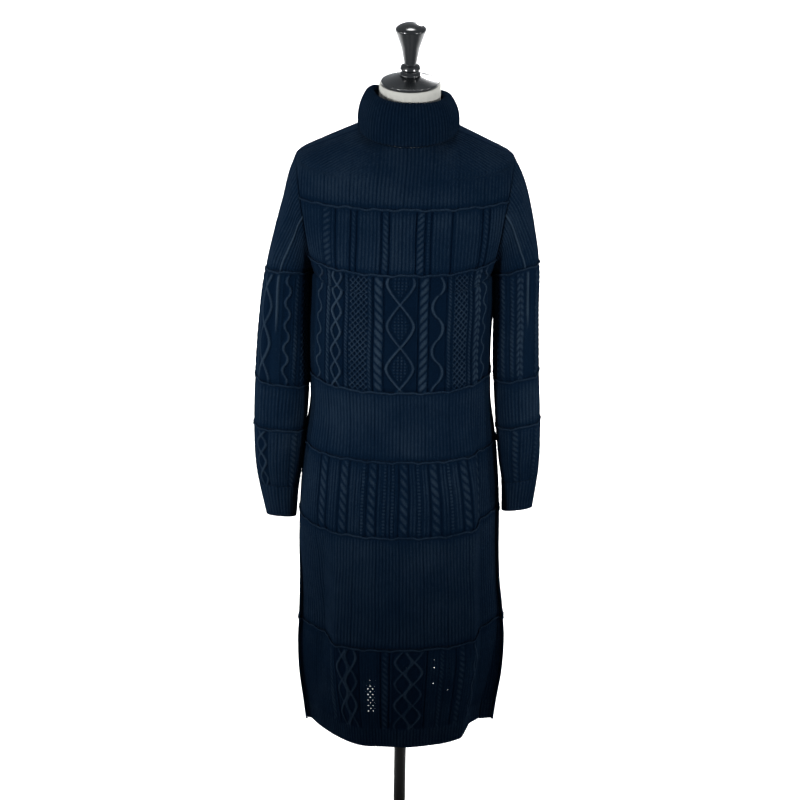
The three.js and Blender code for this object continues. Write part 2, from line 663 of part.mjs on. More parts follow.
// Ribs with a rope after every few, for the two narrow bands of mixed knitting.
function mixedColumns({ ribs, every, sway, period }) {
  const pitch = 2 / ribs;
  const columns = [...EDGES];
  for (let i = 0; i < ribs; i += 1) {
    const middle = -1 + pitch * (i + 0.5);
    const rope = i % every === Math.floor(every / 2);
    columns.push({
      at: (side) => middle + (rope ? sway * Math.cos((2 * Math.PI * side) / period) : 0),
      lift: rope ? CABLE_LIFT : RIB_LIFT,
    });
    if (i > 0) columns.push({ at: () => -1 + pitch * i, lift: 0 });
  }
  return ordered(columns);
}

const zone = (from) => ARMHOLE_ANGLES.slice(from, from + STEPS_PER_ZONE + 1).map(armholeHeight).reverse();
const YOKE_ROWS = [SEAM_YOKE, ...zone(0).slice(1, -1), SHOULDER, 1431, 1448, NECK];
const CHEST_ROWS = [SEAM_ARAN, ...zone(STEPS_PER_ZONE).slice(1, -1), SEAM_YOKE];
const ARAN_ARM_ROWS = [UNDERARM, ...zone(2 * STEPS_PER_ZONE).slice(1, -1), SEAM_ARAN];
const withLip = (rows) => [...rows.slice(0, -1), rows[rows.length - 1] - LIP_DROP, rows[rows.length - 1]];

// Every band of the body, from the neck down. An outer row at each height, an inner row at some.
const BANDS = [
  {
    name: 'yoke',
    rows: YOKE_ROWS,
    inner: YOKE_ROWS,
    columns: ribColumns(24),
    lip: false,
  },
  {
    name: 'chest_band',
    rows: CHEST_ROWS,
    inner: CHEST_ROWS,
    columns: mixedColumns({ ribs: 26, every: 5, sway: 0, period: 40 }),
    lip: true,
  },
  {
    name: 'cable_band',
    rows: [SEAM_WAIST, 1057, 1097, 1137, 1177, ...ARAN_ARM_ROWS],
    inner: [SEAM_WAIST, 1097, ...ARAN_ARM_ROWS],
    columns: motifColumns(ARAN),
    lip: true,
  },
  {
    name: 'waist_band',
    rows: withLip([SEAM_HIP, 950, SEAM_WAIST]),
    inner: [SEAM_HIP, 950, SEAM_WAIST],
    columns: ribColumns(28),
    lip: true,
  },
  {
    name: 'hip_band',
    rows: withLip([SEAM_SKIRT, 786, 833, SEAM_HIP]),
    inner: [SEAM_SKIRT, 833, SEAM_HIP],
    columns: mixedColumns({ ribs: 26, every: 4, sway: 0.012, period: 56 }),
    lip: true,
  },
  {
    name: 'skirt_band',
    rows: withLip([SEAM_BORDER, 630, SEAM_SKIRT]),
    inner: [SEAM_BORDER, 630, SEAM_SKIRT],
    columns: ribColumns(28),
    lip: true,
  },
  {
    name: 'border_band',
    rows: withLip([HEM, 345, 390, 435, 480, SEAM_BORDER]),
    inner: [HEM, 390, 435, SEAM_BORDER],
    columns: motifColumns(BORDER),
    lip: true,
  },
];

// Turns of a sleeve's corners: those of the armhole, once over the front and once over the back.
const CORNER_TURNS = [
  ...ARMHOLE_ANGLES,
  ...reversed(ARMHOLE_ANGLES.slice(1, -1)).map((angle) => 2 * Math.PI - angle),
];
const FINE_TURNS = CORNER_TURNS.flatMap((turn, i) => {
  const next = i + 1 < CORNER_TURNS.length ? CORNER_TURNS[i + 1] : 2 * Math.PI;
  return [turn, (turn + next) / 2];
});

// One point of a sleeve's wall. On a seam the wall ends in the plane of its ring.
function sleeveWallPoint(hand, turn, reach, lift, seam) {
  const point = sleevePoint(hand, turn, reach);
  const normal = sleeveNormal(hand, turn, reach);
  if (seam !== 0) {
    const axis = ringAxis(hand, reach);
    normal.addScaledVector(axis, -normal.dot(axis)).normalize();
    point.addScaledVector(axis, seam * HALF_GAP);
  }
  return point.addScaledVector(normal, lift);
}

// The ring that meets the armhole: its corners are the body's own, set back to the sleeve's side.
function armholeRing(hand, lift, turns) {
  const corner = (turn) => {
    const face = turn <= Math.PI ? 'front' : 'back';
    const angle = face === 'front' ? turn : 2 * Math.PI - turn;
    return armholePoint(hand, face, angle)
      .addScaledVector(ARMHOLES[hand].away, HALF_GAP)
      .addScaledVector(armholeMitre(hand, face, angle), lift);
  };
  return turns.map((turn, i) => {
    if (CORNER_TURNS.includes(turn)) return corner(turn);
    const next = i + 1 < turns.length ? turns[i + 1] : turns[0];
    return corner(turns[i - 1]).lerp(corner(next), 0.5);
  });
}

// One knitted stretch of a sleeve, between two places along it.
function sleeveWall(hand, { from, to, rows, lift, lip }) {
  const order = hand === 'left' ? (row) => row : reversed;
  const reaches = Array.from({ length: rows + 1 }, (_, i) => THREE.MathUtils.lerp(from, to, i / rows));
  const outerReaches = lip ? [from, from + LIP_REACH, ...reaches.slice(1)] : reaches;
  const ring = (reach, turns, liftOf) => {
    if (reach === 0) return armholeRing(hand, liftOf(0, 0), turns);
    let seam = 0;
    if (reach === from) seam = 1;
    if (reach === to) seam = -1;
    return turns.map((turn, i) => sleeveWallPoint(hand, turn, reach, liftOf(i, reach), seam));
  };
  const grid = (heights, turns, liftOf) => ({
    heights: reversed(heights).map((reach) => -reach),
    places: heights.map(() => turns.map((_, i) => i / turns.length)),
    points: reversed(heights).map((reach) => order(ring(reach, turns, liftOf))),
  });
  const outerLift = (i, reach) => {
    if (reach === 0) return 0;
    return lip && reach === from ? LIP_LIFT : lift(i, reach);
  };
  return wall(grid(outerReaches, FINE_TURNS, outerLift), grid(reaches, CORNER_TURNS, () => -WALL), true);
}

const ribLift = (i) => (i % 2 ? RIB_LIFT : 0);
const plainLift = () => 0;
const cableLift = (i, reach) => {
  const { steady, wave, pace } = SLEEVE_CABLES;
  return i % 2 ? CABLE_LIFT * (steady + wave * Math.cos((reach - SLEEVE_SEAMS.cap) * pace + i)) : 0;
};

const SLEEVE_BANDS = [
  { name: 'cap', from: 0, to: SLEEVE_SEAMS.cap, rows: 4, lift: plainLift, lip: false },
  { name: 'cable_band', from: SLEEVE_SEAMS.cap, to: SLEEVE_SEAMS.aran, rows: 4, lift: cableLift, lip: true },
  { name: 'rib_band', from: SLEEVE_SEAMS.aran, to: SLEEVE_SEAMS.rib, rows: 1, lift: ribLift, lip: true },
  { name: 'mixed_band', from: SLEEVE_SEAMS.rib, to: SLEEVE_SEAMS.cable, rows: 2, lift: ribLift, lip: true },
  { name: 'cuff', from: SLEEVE_SEAMS.cable, to: SLEEVE_SEAMS.cuff, rows: 2, lift: ribLift, lip: false },
];

// A value that goes smoothly round from front over right, back and left.
function roundly(values, turn) {
  const c = Math.cos(turn);
  const s = Math.sin(turn);
  return (c > 0 ? values.front : values.back) * c * c + (s > 0 ? values.right : values.left) * s * s;
}

// A ring of places round the body: across the front from left to right, then the back.
const ringOf = (frontPlaces, backPlaces, make) => [
  ...frontPlaces.slice(0, -1).map((p) => make('front', p)),
  ...reversed(backPlaces.slice(1)).map((p) => make('back', p)),
];

// The height of the yoke under a point that stands off the neck seam.
function yokeHeight(face, across, out) {
  const seam = bodyPoint(face, across, NECK);
  let side = NECK;
  let point = seam;
  while (side > SHOULDER && Math.hypot(point.x - seam.x, point.y - seam.y) < out) {
    side -= 1;
    point = bodyPoint(face, across, side);
  }
  return point.z;
}

// The folded neck: its section carried round the neck seam.
function neckFold() {
  const reach = Math.max(...NECK_SECTION.map((row) => row.out));
  const places = Array.from({ length: NECK_RIBS + 1 }, (_, i) => -1 + (2 * i) / NECK_RIBS);
  const sections = ringOf(places, places, (face, across) => {
    const seam = bodyPoint(face, across, NECK);
    const out = bodyNormal(face, across, NECK).setZ(0).normalize();
    const turn = (face === 'front' ? 0 : Math.PI) + ((face === 'front' ? 1 : -1) * across * Math.PI) / 2;
    const rest = yokeHeight(face, across, reach - 2 * WALL) + NECK_CLEARANCE;
    const foot = Math.max(roundly(NECK_FOOT, turn), rest);
    const crest = roundly(NECK_CREST, turn);
    return { seam, out, foot, crest };
  });
  const positions = sections.flatMap(({ seam, out, foot, crest }, i) => NECK_SECTION.flatMap((row) => {
    const ribbed = row.ribbed && i % 2 === 1;
    const point = seam.clone().addScaledVector(out, row.out + (ribbed ? RIB_LIFT : 0));
    const from = row.from === 'seam' ? seam.z + 2 * HALF_GAP : foot;
    return [point.x, point.y, THREE.MathUtils.lerp(from, crest, row.rise)];
  }));
  const rows = NECK_SECTION.length;
  const triangles = [];
  for (let i = 0; i < sections.length; i += 1) {
    for (let row = 0; row < rows; row += 1) {
      const a = i * rows + row;
      const b = i * rows + ((row + 1) % rows);
      const c = ((i + 1) % sections.length) * rows + ((row + 1) % rows);
      const d = ((i + 1) % sections.length) * rows + row;
      triangles.push(a, b, c, a, c, d);
    }
  }
  return solid(positions, triangles);
}

// The dress form: rings from the hip to the shoulders, shoulders that follow the inside of the
// yoke corner by corner, and a round neck. Its two ends are flat.
function dressForm() {
  const yoke = BANDS[0];
  const ends = { low: SEAM_YOKE, high: NECK };
  const inside = Object.fromEntries(['front', 'back'].map((face) => [
    face,
    insideColumns(face, (ends.low + ends.high) / 2, foldedColumns(face, ends, yoke.columns)),
  ]));
  const ringAt = (side, make) => ringOf(
    rowPlaces('front', side, inside.front),
    rowPlaces('back', side, inside.back),
    make,
  );
  const formAt = Object.fromEntries(
    Object.keys(FORM[0]).map((name) => [name, column(FORM, 'height', name)]),
  );
  const rings = FORM.map(({ height }) => ringAt(SHOULDER, (face, across) => {
    const angle = (Math.abs(across) * Math.PI) / 2;
    const width = across < 0 ? formAt.left(height) : formAt.right(height);
    const depth = face === 'front' ? -formAt.ahead(height) : formAt.behind(height);
    return new THREE.Vector3(
      width * power(Math.sin(angle), FORM_SQUARENESS),
      SIDE_Y + depth * power(Math.cos(angle), FORM_SQUARENESS),
      height,
    );
  }));
  for (const side of SEAT_ROWS) {
    rings.push(ringAt(side, (face, across) => {
      const off = WALL + FORM_SEAT + FORM_RELIEF * (1 - Math.abs(across));
      return bodyPoint(face, across, side).addScaledVector(bodyNormal(face, across, side), -off);
    }));
  }
  for (const height of [FORM_NECK.foot, FORM_NECK.top]) {
    rings.push(ringAt(NECK, (face, across) => {
      const angle = (across * Math.PI) / 2;
      const depth = face === 'front' ? -FORM_NECK.radius : FORM_NECK.radius;
      return new THREE.Vector3(FORM_NECK.radius * Math.sin(angle), SIDE_Y + depth * Math.cos(angle), height);
    }));
  }
  const count = rings[0].length;
  const positions = rings.flat().flatMap((p) => [p.x, p.y, p.z]);
  const triangles = [];
  for (let r = 0; r < rings.length - 1; r += 1) {
    for (let c = 0; c < count; c += 1) {
      const [a, b] = [r * count + c, r * count + ((c + 1) % count)];
      const [d, e] = [b + count, a + count];
      triangles.push(a, b, e, b, d, e);
    }
  }
  const last = (rings.length - 1) * count;
  for (let c = 1; c < count - 1; c += 1) {
    triangles.push(0, c + 1, c, last, last + c, last + c + 1);
  }
  return solid(positions, triangles);
}

// A turned piece from its profile, closed on the axis at both ends.
function turned(profile, foot, sides) {
  const points = profile.map(({ radius, rise }) => new THREE.Vector2(radius, foot + rise));
  const closed = [new THREE.Vector2(0, points[0].y), ...points, new THREE.Vector2(0, points.at(-1).y)];
  return new THREE.LatheGeometry(closed, sides).rotateX(Math.PI / 2);
}

const topOf = (profile) => profile.at(-1).rise;
const capFoot = FORM_NECK.top + PART_GAP;
const finialFoot = capFoot + topOf(CAP) + PART_GAP;
const flangeFoot = FORM[0].height - PART_GAP - topOf(FLANGE);
const poleFoot = topOf(BASE) + PART_GAP;
const poleLength = flangeFoot - PART_GAP - poleFoot;

const WOOL = { color: 0x0f1b2b, roughness: 0.95, metalness: 0 };
const LINEN = { color: 0xdedfd6, roughness: 0.9, metalness: 0 };
const LACQUER = { color: 0x101416, roughness: 0.18, metalness: 0 };
const STEEL = { color: 0x1a1918, roughness: 0.45, metalness: 0.6 };

const group = new THREE.Group();
function add(name, geometry, finish) {
  const mesh = new THREE.Mesh(geometry, new THREE.MeshStandardMaterial(finish));
  mesh.name = name;
  group.add(mesh);
  return mesh;
}

for (const face of ['front', 'back']) {
  for (const band of BANDS) {
    add(`${band.name}_${face}`, panel(face, band.rows, band.columns, band.inner, band.lip), WOOL);
  }
}
for (const hand of ['left', 'right']) {
  for (const band of SLEEVE_BANDS) {
    add(`sleeve_${band.name}_${hand}`, sleeveWall(hand, band), WOOL);
  }
}
add('neck_fold', neckFold(), WOOL);
add('form_torso', dressForm(), LINEN);
add('form_cap', turned(CAP, capFoot, FINE_SIDES), LACQUER);
add('form_finial', turned(FINIAL, finialFoot, FINIAL_SIDES), LACQUER);
add('form_flange', turned(FLANGE, flangeFoot, FLANGE_SIDES), STEEL);
const poleShape = new THREE.CylinderGeometry(POLE.radius, POLE.radius, poleLength, POLE.sides);
const pole = add('stand_pole', poleShape.rotateX(Math.PI / 2), STEEL);
pole.position.z = poleFoot + poleLength / 2;
add('stand_base', turned(BASE, 0, FINE_SIDES), STEEL);

export default group;
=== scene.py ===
"""A knitted sweater dress in level bands of ribs and cables, on a dress form with a pole and base.

Sizes are in millimetres, as the maker's are, and turn into metres where a mesh is built. The front
faces -Y, +X is on the viewer's right, and the origin is under the middle of the base.
"""

import logging
import math
from dataclasses import dataclass, replace
from enum import Enum
from functools import cache
from typing import Protocol

import bpy
import numpy as np
from mathutils import Matrix, Vector

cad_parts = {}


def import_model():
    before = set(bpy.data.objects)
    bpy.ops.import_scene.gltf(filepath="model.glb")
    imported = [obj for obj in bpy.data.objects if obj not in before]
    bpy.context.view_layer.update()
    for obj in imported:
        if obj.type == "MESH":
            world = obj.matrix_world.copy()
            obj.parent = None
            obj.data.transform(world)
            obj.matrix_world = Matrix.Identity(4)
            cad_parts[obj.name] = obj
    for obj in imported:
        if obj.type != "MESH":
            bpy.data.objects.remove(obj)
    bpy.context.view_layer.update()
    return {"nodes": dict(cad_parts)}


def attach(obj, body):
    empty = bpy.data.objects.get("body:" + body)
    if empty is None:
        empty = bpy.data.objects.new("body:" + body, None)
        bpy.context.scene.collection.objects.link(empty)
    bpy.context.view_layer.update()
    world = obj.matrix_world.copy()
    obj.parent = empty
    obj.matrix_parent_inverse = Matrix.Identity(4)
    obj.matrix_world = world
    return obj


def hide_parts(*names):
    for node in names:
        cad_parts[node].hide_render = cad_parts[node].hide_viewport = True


LOG = logging.getLogger("sweater_dress")
Array = np.ndarray
Object = bpy.types.Object
Socket = bpy.types.NodeSocket
Triple = tuple[float, float, float]
MM = 0.001
ROOT = "root"
KNIT = "knit_"  # begins the name of every knitted piece
LIFT = "lift"  # the attribute that keeps how far a point stands out, from which the wool paints shade and highlight
INSIDE = -2.0  # the lift all over the inside of a wall, which marks it and paints it darker than the ground, with the furrows' painted shade
JUST_RAISED = 0.02  # a motif shows where it is higher than this

# Heights of the seams on the body, above the floor
HEM = 302
SEAM_BORDER = 515
SEAM_SKIRT = 739
SEAM_HIP = 880
SEAM_WAIST = 1017
SEAM_ARAN = 1242
SEAM_YOKE = 1352
UNDERARM = 1205
SHOULDER = 1411
NECK = 1466

WALL = 2.6  # thickness of the knitted wall
SIDE_Y = 2.0  # where the front meets the back
ROUNDNESS = 2.3  # exponent of the body's level sections, 2 being an ellipse
SIDE_FADE = 0.14  # share of the panel over which every fold ends at the side
MOST_FOLDED = 0.9  # a fold takes at most this share of the depth at its place
ARMHOLE_AHEAD = 58
ARMHOLE_BEHIND = 60
BACK_COARSER = 1.4  # how much further apart the back's points are than the front's
PLAIN_COLUMNS = 4  # over how many columns a panel's knitting sinks to its side
RIB_PHASES = (0.0, 0.17, 0.38, 0.62, 0.83)  # where a rib has its columns of points


class Face(Enum):
    """The two sides of the dress's body."""

    FRONT = "front"
    BACK = "back"

    @property
    def outward(self) -> int:
        """The sign of Y on this side."""
        return -1 if self is Face.FRONT else 1


class Hand(Enum):
    """The two sleeves, as the viewer sees them."""

    LEFT = "left"
    RIGHT = "right"

    @property
    def sign(self) -> int:
        """The sign of X on this side."""
        return -1 if self is Hand.LEFT else 1


class SmoothTable:
    """Reads the columns of a short table on smooth curves through its rows."""

    def __init__(self, names: tuple[str, ...], rows: list[tuple[float, ...]]) -> None:
        """Keeps the rows, the first column being the key."""
        values = np.array(rows, float)
        self.keys = values[:, 0]
        self.values = dict(zip(names, values.T))

    def at(self, name: str, key: Array | float) -> Array:
        """Reads one column.

        Args:
            name: the column.
            key: one key or many.

        Returns:
            The column's value at each key.
        """
        keys, v = self.keys, self.values[name]
        last = len(keys) - 1
        i = np.clip(np.searchsorted(keys, key) - 1, 0, last - 1)
        before = np.maximum(i - 1, 0)
        after = np.minimum(i + 2, last)
        span = keys[i + 1] - keys[i]
        t = np.clip((key - keys[i]) / span, -0.02, 1.02)
        slope_a = (v[i + 1] - v[before]) / (keys[i + 1] - keys[before]) * span
        slope_b = (v[after] - v[i]) / (keys[after] - keys[i]) * span
        rest = (2 * t**3 - 3 * t**2 + 1) * v[i] + (t**3 - 2 * t**2 + t) * slope_a
        return rest + (3 * t**2 - 2 * t**3) * v[i + 1] + (t**3 - t**2) * slope_b


# One ring of the body in each row: its heights at the sides and at its two middles, X at its
# sides and middle, its depths, and how far it rises to the right, per millimetre.
BODY = SmoothTable(
    ("side", "front", "back", "left", "right", "mid", "ahead", "behind", "heel"),
    [
        (HEM, HEM, 304, -175, 171, -6, 112, 116, 0.015),
        (345, 345, 345, -180, 176, -6, 116, 118, 0.017),
        (400, 400, 400, -187, 184, -6, 123, 119, 0.02),
        (465, 465, 465, -190, 187, -5, 128, 120, 0.023),
        (SEAM_BORDER, 515, 515, -188, 184, -5, 130, 120, 0.025),
        (600, 600, 600, -186, 175, -5, 130, 119, 0.018),
        (673, 673, 673, -187, 172, -6, 128, 118, 0.013),
        (SEAM_SKIRT, 739, 739, -186, 171, -7, 124, 115, 0.011),
        (800, 800, 800, -183, 168, -7, 117, 111, 0.006),
        (SEAM_HIP, 880, 880, -177, 161, -8, 108, 103, 0),
        (960, 960, 960, -167, 150, -9, 109, 99, 0),
        (1050, 1050, 1050, -171, 148, -10, 118, 101, 0),
        (1100, 1100, 1100, -171, 149, -10, 122, 102, 0),
        (1160, 1160, 1160, -168.5, 151.5, -10.5, 125, 103, 0),
        (UNDERARM, 1205, 1205, -167, 150, -11, 127, 104, 0),
        (SEAM_ARAN, 1242, 1242, -165, 148, -11, 127, 104, 0),
        (SEAM_YOKE, 1352, 1352, -185, 172, -8, 103, 100, 0),
        (SHOULDER, 1398, 1406, -193, 180, -5, 86, 92, 0),
        (1431, 1420, 1432, -153, 142, -3, 78, 84, 0),
        (1448, 1437, 1453, -111, 104, -2, 71, 74, 0),
        (NECK, 1450, 1472, -68, 65, -2, 65, 63, 0),
    ],
)

SLEEVE_NAMES = ("reach", "out_x", "out_z", "in_x", "in_z", "ahead", "behind", "lift", "round")
SLEEVES = {
    Hand.LEFT: SmoothTable(
        SLEEVE_NAMES,
        [
            (0, -193, SHOULDER, -163, UNDERARM, 58, 60, 0, 2),
            (6, -205, 1377, -167, 1203, 60, 62, 0.1, 2.1),
            (12, -214, 1337, -168, 1201, 61, 63, 0.16, 2.2),
            (20, -228, 1281, -168.5, 1200, 62, 64, 0.24, 2.3),
            (30, -245, 1202, -169, 1197, 62, 64, 0.3, 2.4),
            (45, -256, 1115, -170.5, 1108, 61, 63, 0.22, 2.4),
            (62, -264, 1003, -170.5, 988, 60, 61, 0.12, 2.4),
            (75, -267, 907, -176, 898, 57, 58, 0.2, 2.4),
            (85, -265, 835, -183, 826, 51, 52, 0.24, 2.4),
            (92, -259, 789, -189, 782, 43, 44, 0.28, 2.4),
            (100, -246, 724, -194, 720, 34, 35, 0.34, 2.5),
        ],
    ),
    Hand.RIGHT: SmoothTable(
        SLEEVE_NAMES,
        [
            (0, 180, SHOULDER, 146, UNDERARM, 58, 60, 0, 2),
            (6, 196, 1377, 150, 1203, 60, 62, 0.1, 2.1),
            (12, 207, 1340, 150, 1201, 61, 63, 0.16, 2.2),
            (20, 217.5, 1288, 150.5, 1200, 62, 64, 0.22, 2.3),
            (30, 227.5, 1221, 150.5, 1198, 62, 64, 0.27, 2.4),
            (45, 229.5, 1131, 153, 1112, 61, 63, 0.22, 2.4),
            (62, 233.5, 1017, 155.5, 1003, 60, 61, 0.14, 2.4),
            (75, 238.5, 922, 162, 908, 57, 58, 0.2, 2.4),
            (85, 239, 855, 168.5, 842, 51, 52, 0.24, 2.4),
            (92, 237.5, 808, 175, 796, 43, 44, 0.28, 2.4),
            (100, 230, 745, 177, 737, 34, 35, 0.34, 2.5),
        ],
    ),
}
ARMHOLES = {
    hand: {name: table.at(name, 0) for name in ("out_x", "in_x")} for hand, table in SLEEVES.items()
}


def smooth(t: Array | float) -> Array:
    """Eases from 0 to 1 as t does."""
    c = np.clip(t, 0, 1)
    return c * c * (3 - 2 * c)


def power(value: Array, exponent: float) -> Array:
    """Raises the size of a value and keeps its sign."""
    return np.sign(value) * np.abs(value) ** exponent


def cord(x: Array) -> Array:
    """The height of a round cord, from 1 in its middle at 0 to nothing at -1 and 1."""
    return np.sqrt(np.clip(1 - x**2, 0, 1))


def waves(u: Array, parts: tuple[Triple, ...]) -> Array:
    """Adds up waves, each given by its length, its start and its size."""
    return sum(size * np.sin(u / length + start) for length, start, size in parts)


def spacing(points: Array) -> Array:
    """The distances between the rows of an array of points."""
    return np.linalg.norm(np.diff(points, axis=0), axis=-1)


def travelled(steps: Array) -> Array:
    """The length covered at each point of a line, from the steps between its points."""
    return np.concatenate([[0], np.cumsum(steps)])


@dataclass(frozen=True)
class Step:
    """A long fold, behind which the cloth stays back as far as the side.

    It begins at the height top and has its full depth from the height full down.
    """

    at: float
    lean: float
    flank: float
    flank_at_hem: float
    depth: float
    top: float
    full: float

    def depth_at(self, across: Array, side: float) -> Array:
        """How far it pushes the cloth in.

        Args:
            across: places across the panel, from -1 to 1.
            side: the height of the ring.

        Returns:
            The depth at each place.
        """
        hand = math.copysign(1, self.at)
        middle = self.at + hand * self.lean * (side - HEM) / (self.top - HEM)
        widening = smooth((side - HEM) / (SEAM_BORDER - HEM))
        flank = self.flank_at_hem + (self.flank - self.flank_at_hem) * widening
        share = smooth((self.top - side) / (self.top - self.full))
        return self.depth * share * smooth(((across - middle) * hand + flank) / (2 * flank))


@dataclass(frozen=True)
class Trough:
    """A hanging fold, narrower towards the middle than towards the side."""

    at: float
    inner: float
    outer: float
    depth: float
    top: float
    full: float

    def depth_at(self, across: Array, side: float) -> Array:
        """How far it pushes the cloth in, as for a step."""
        off = (across - self.at) * math.copysign(1, self.at)
        width = np.where(off < 0, self.inner, self.outer)
        share = smooth((self.top - side) / (self.top - self.full))
        return self.depth * share * np.exp(-((off / width) ** 2))


@dataclass(frozen=True)
class Dent:
    """A soft hollow of the chest, between two heights."""

    at: float
    width: float
    depth: float
    middle: float
    reach: float

    def depth_at(self, across: Array, side: float) -> Array:
        """How far it pushes the cloth in, as for a step."""
        along = (side - self.middle) / self.reach
        return self.depth * np.exp(-(((across - self.at) / self.width) ** 2) - along**4)


FOLDS = {
    Face.FRONT: (
        Step(0.55, 0.08, 0.03, 0.05, 40, 1000, 700),
        Step(0.5, 0.02, 0.2, 0.34, 26, 620, 330),
        Step(-0.5, 0.02, 0.05, 0.3, 42, 800, 520),
        Trough(-0.12, 0.16, 0.14, 4, 640, 330),
        Trough(0.24, 0.12, 0.12, 4, 760, 420),
        Dent(0.74, 0.1, 9, 1110, 120),
        Dent(-0.76, 0.11, 8, 1130, 110),
    ),
    Face.BACK: (
        Trough(-0.5, 0.07, 0.17, 24, 960, 520),
        Trough(0.08, 0.15, 0.13, 15, 860, 430),
        Trough(0.63, 0.08, 0.14, 21, 890, 600),
        Dent(0.72, 0.12, 8, 1120, 120),
        Dent(-0.7, 0.12, 9, 1100, 120),
    ),
}


@dataclass(frozen=True)
class BodyShape:
    """The surface that the dress's body hangs in."""

    section_steps: int = 240
    row_steps: int = 320

    def half_section(self, face: Face, hand: Hand, side: float) -> tuple[Array, Array, Array]:
        """One ring's half, from its middle to its side.

        Args:
            face: the front or the back.
            hand: the viewer's left or right.
            side: the height of the ring.

        Returns:
            X, Y and the length along the half, at each step.
        """
        depth = float(BODY.at("ahead" if face is Face.FRONT else "behind", side))
        mid = float(BODY.at("mid", side))
        edge_x, edge_depth = float(BODY.at(hand.value, side)), 0.0
        if UNDERARM < side < SHOULDER:
            angle = math.acos((2 * side - SHOULDER - UNDERARM) / (SHOULDER - UNDERARM))
            outer, inner = ARMHOLES[hand]["out_x"], ARMHOLES[hand]["in_x"]
            edge_x = (outer + inner) / 2 + (outer - inner) / 2 * math.cos(angle)
            arm = ARMHOLE_AHEAD if face is Face.FRONT else ARMHOLE_BEHIND
            edge_depth = arm * math.sin(angle)
        end = math.acos(min(edge_depth / depth, 1) ** (ROUNDNESS / 2))
        width = (edge_x - mid) / math.sin(end) ** (2 / ROUNDNESS)
        angles = np.linspace(0, end, self.section_steps + 1)
        x = mid + width * power(np.sin(angles), 2 / ROUNDNESS)
        y = SIDE_Y + face.outward * depth * power(np.cos(angles), 2 / ROUNDNESS)
        return x, y, travelled(np.hypot(np.diff(x), np.diff(y)))

    def points(self, face: Face, across: Array, side: float) -> Array:
        """Points of one ring.

        Args:
            face: the front or the back.
            across: places from -1 at the left edge to 1 at the right one.
            side: the height of the ring.

        Returns:
            One point a row.
        """
        x, y = np.empty_like(across), np.empty_like(across)
        for hand, chosen in ((Hand.LEFT, across < 0), (Hand.RIGHT, across >= 0)):
            xs, ys, lengths = self.half_section(face, hand, side)
            want = np.abs(across[chosen]) * lengths[-1]
            x[chosen] = np.interp(want, lengths, xs)
            y[chosen] = np.interp(want, lengths, ys)
        depth = sum(fold.depth_at(across, side) for fold in FOLDS[face])
        depth = np.minimum(depth, np.abs(y - SIDE_Y) * MOST_FOLDED)
        depth = depth * smooth((1 - np.abs(across)) / SIDE_FADE)
        middle = float(BODY.at(face.value, side))
        heel = float(BODY.at("heel", side)) * (x - float(BODY.at("mid", side)))
        z = middle + (side - middle) * across**2 + heel
        return np.stack([x, y - face.outward * depth, z], axis=1)

    def row(self, face: Face, shares: Array, side: float) -> tuple[Array, float]:
        """Points of one ring, spaced by the cloth between them.

        Args:
            face: the front or the back.
            shares: places as shares of the cloth on each side of the middle, from -1 to 1.
            side: the height of the ring.

        Returns:
            The points, and the mean length of cloth from the middle to a side.
        """
        dense = np.linspace(-1, 1, 2 * self.row_steps + 1)
        steps = spacing(self.points(face, dense, side))
        left = travelled(steps[: self.row_steps][::-1])
        right = travelled(steps[self.row_steps :])
        places = np.linspace(0, 1, self.row_steps + 1)
        across = np.where(
            shares < 0,
            -np.interp(-shares * left[-1], left, places),
            np.interp(shares * right[-1], right, places),
        )
        return self.points(face, across, side), (left[-1] + right[-1]) / 2


@dataclass(frozen=True)
class SleeveShape:
    """The surface that one sleeve hangs in."""

    hand: Hand
    crease_at: float = 52
    crease_width: float = 13
    crease_height: float = 5
    crease_end: float = 96
    crease_fade: float = 20
    ring_steps: int = 360

    def points(self, turns: Array, reach: float) -> Array:
        """Points of one ring of the sleeve.

        Args:
            turns: angles from the outer point, over the front, round to two pi.
            reach: the place along the sleeve, from 0 at the armhole to 100 at the cuff's edge.

        Returns:
            One point a row.
        """
        at = {name: float(SLEEVES[self.hand].at(name, reach)) for name in SLEEVE_NAMES[1:]}
        outer = np.array([at["out_x"], SIDE_Y, at["out_z"]])
        inner = np.array([at["in_x"], SIDE_Y, at["in_z"]])
        out, forward = (outer - inner) / 2, np.array([0, -1, at["lift"]])
        c = power(np.cos(turns), 2 / at["round"])
        s = power(np.sin(turns), 2 / at["round"])
        off = (np.degrees(turns) - self.crease_at) / self.crease_width
        along = smooth(reach / self.crease_fade) * smooth((self.crease_end - reach) / self.crease_fade)
        # The crease stands out as far outwards as forwards
        crease = self.crease_height * along * np.exp(-(off**2)) * math.sqrt(0.5)
        depth = np.where(s > 0, at["ahead"], at["behind"]) * s
        across = np.outer(c + crease / np.linalg.norm(out), out)
        return (outer + inner) / 2 + across + np.outer(depth + crease, forward)

    def row(self, shares: Array, reach: float) -> tuple[Array, float]:
        """Points of one ring, spaced by the cloth between them.

        Args:
            shares: places round the sleeve as shares of its cloth, from 0 at the outer point.
            reach: the place along the sleeve.

        Returns:
            The points, and the length of the cloth round the ring.
        """
        dense = np.linspace(0, 2 * math.pi, self.ring_steps + 1)
        lengths = travelled(spacing(self.points(dense, reach)))
        turns = np.interp(shares * lengths[-1], lengths, dense)
        return self.points(turns, reach), float(lengths[-1])


class Knit(Protocol):
    """A kind of knitting, as a height over the plain wall."""

    def height(self, u: Array, v: Array) -> Array:
        """The height at places u across the cloth and v up it."""
        ...


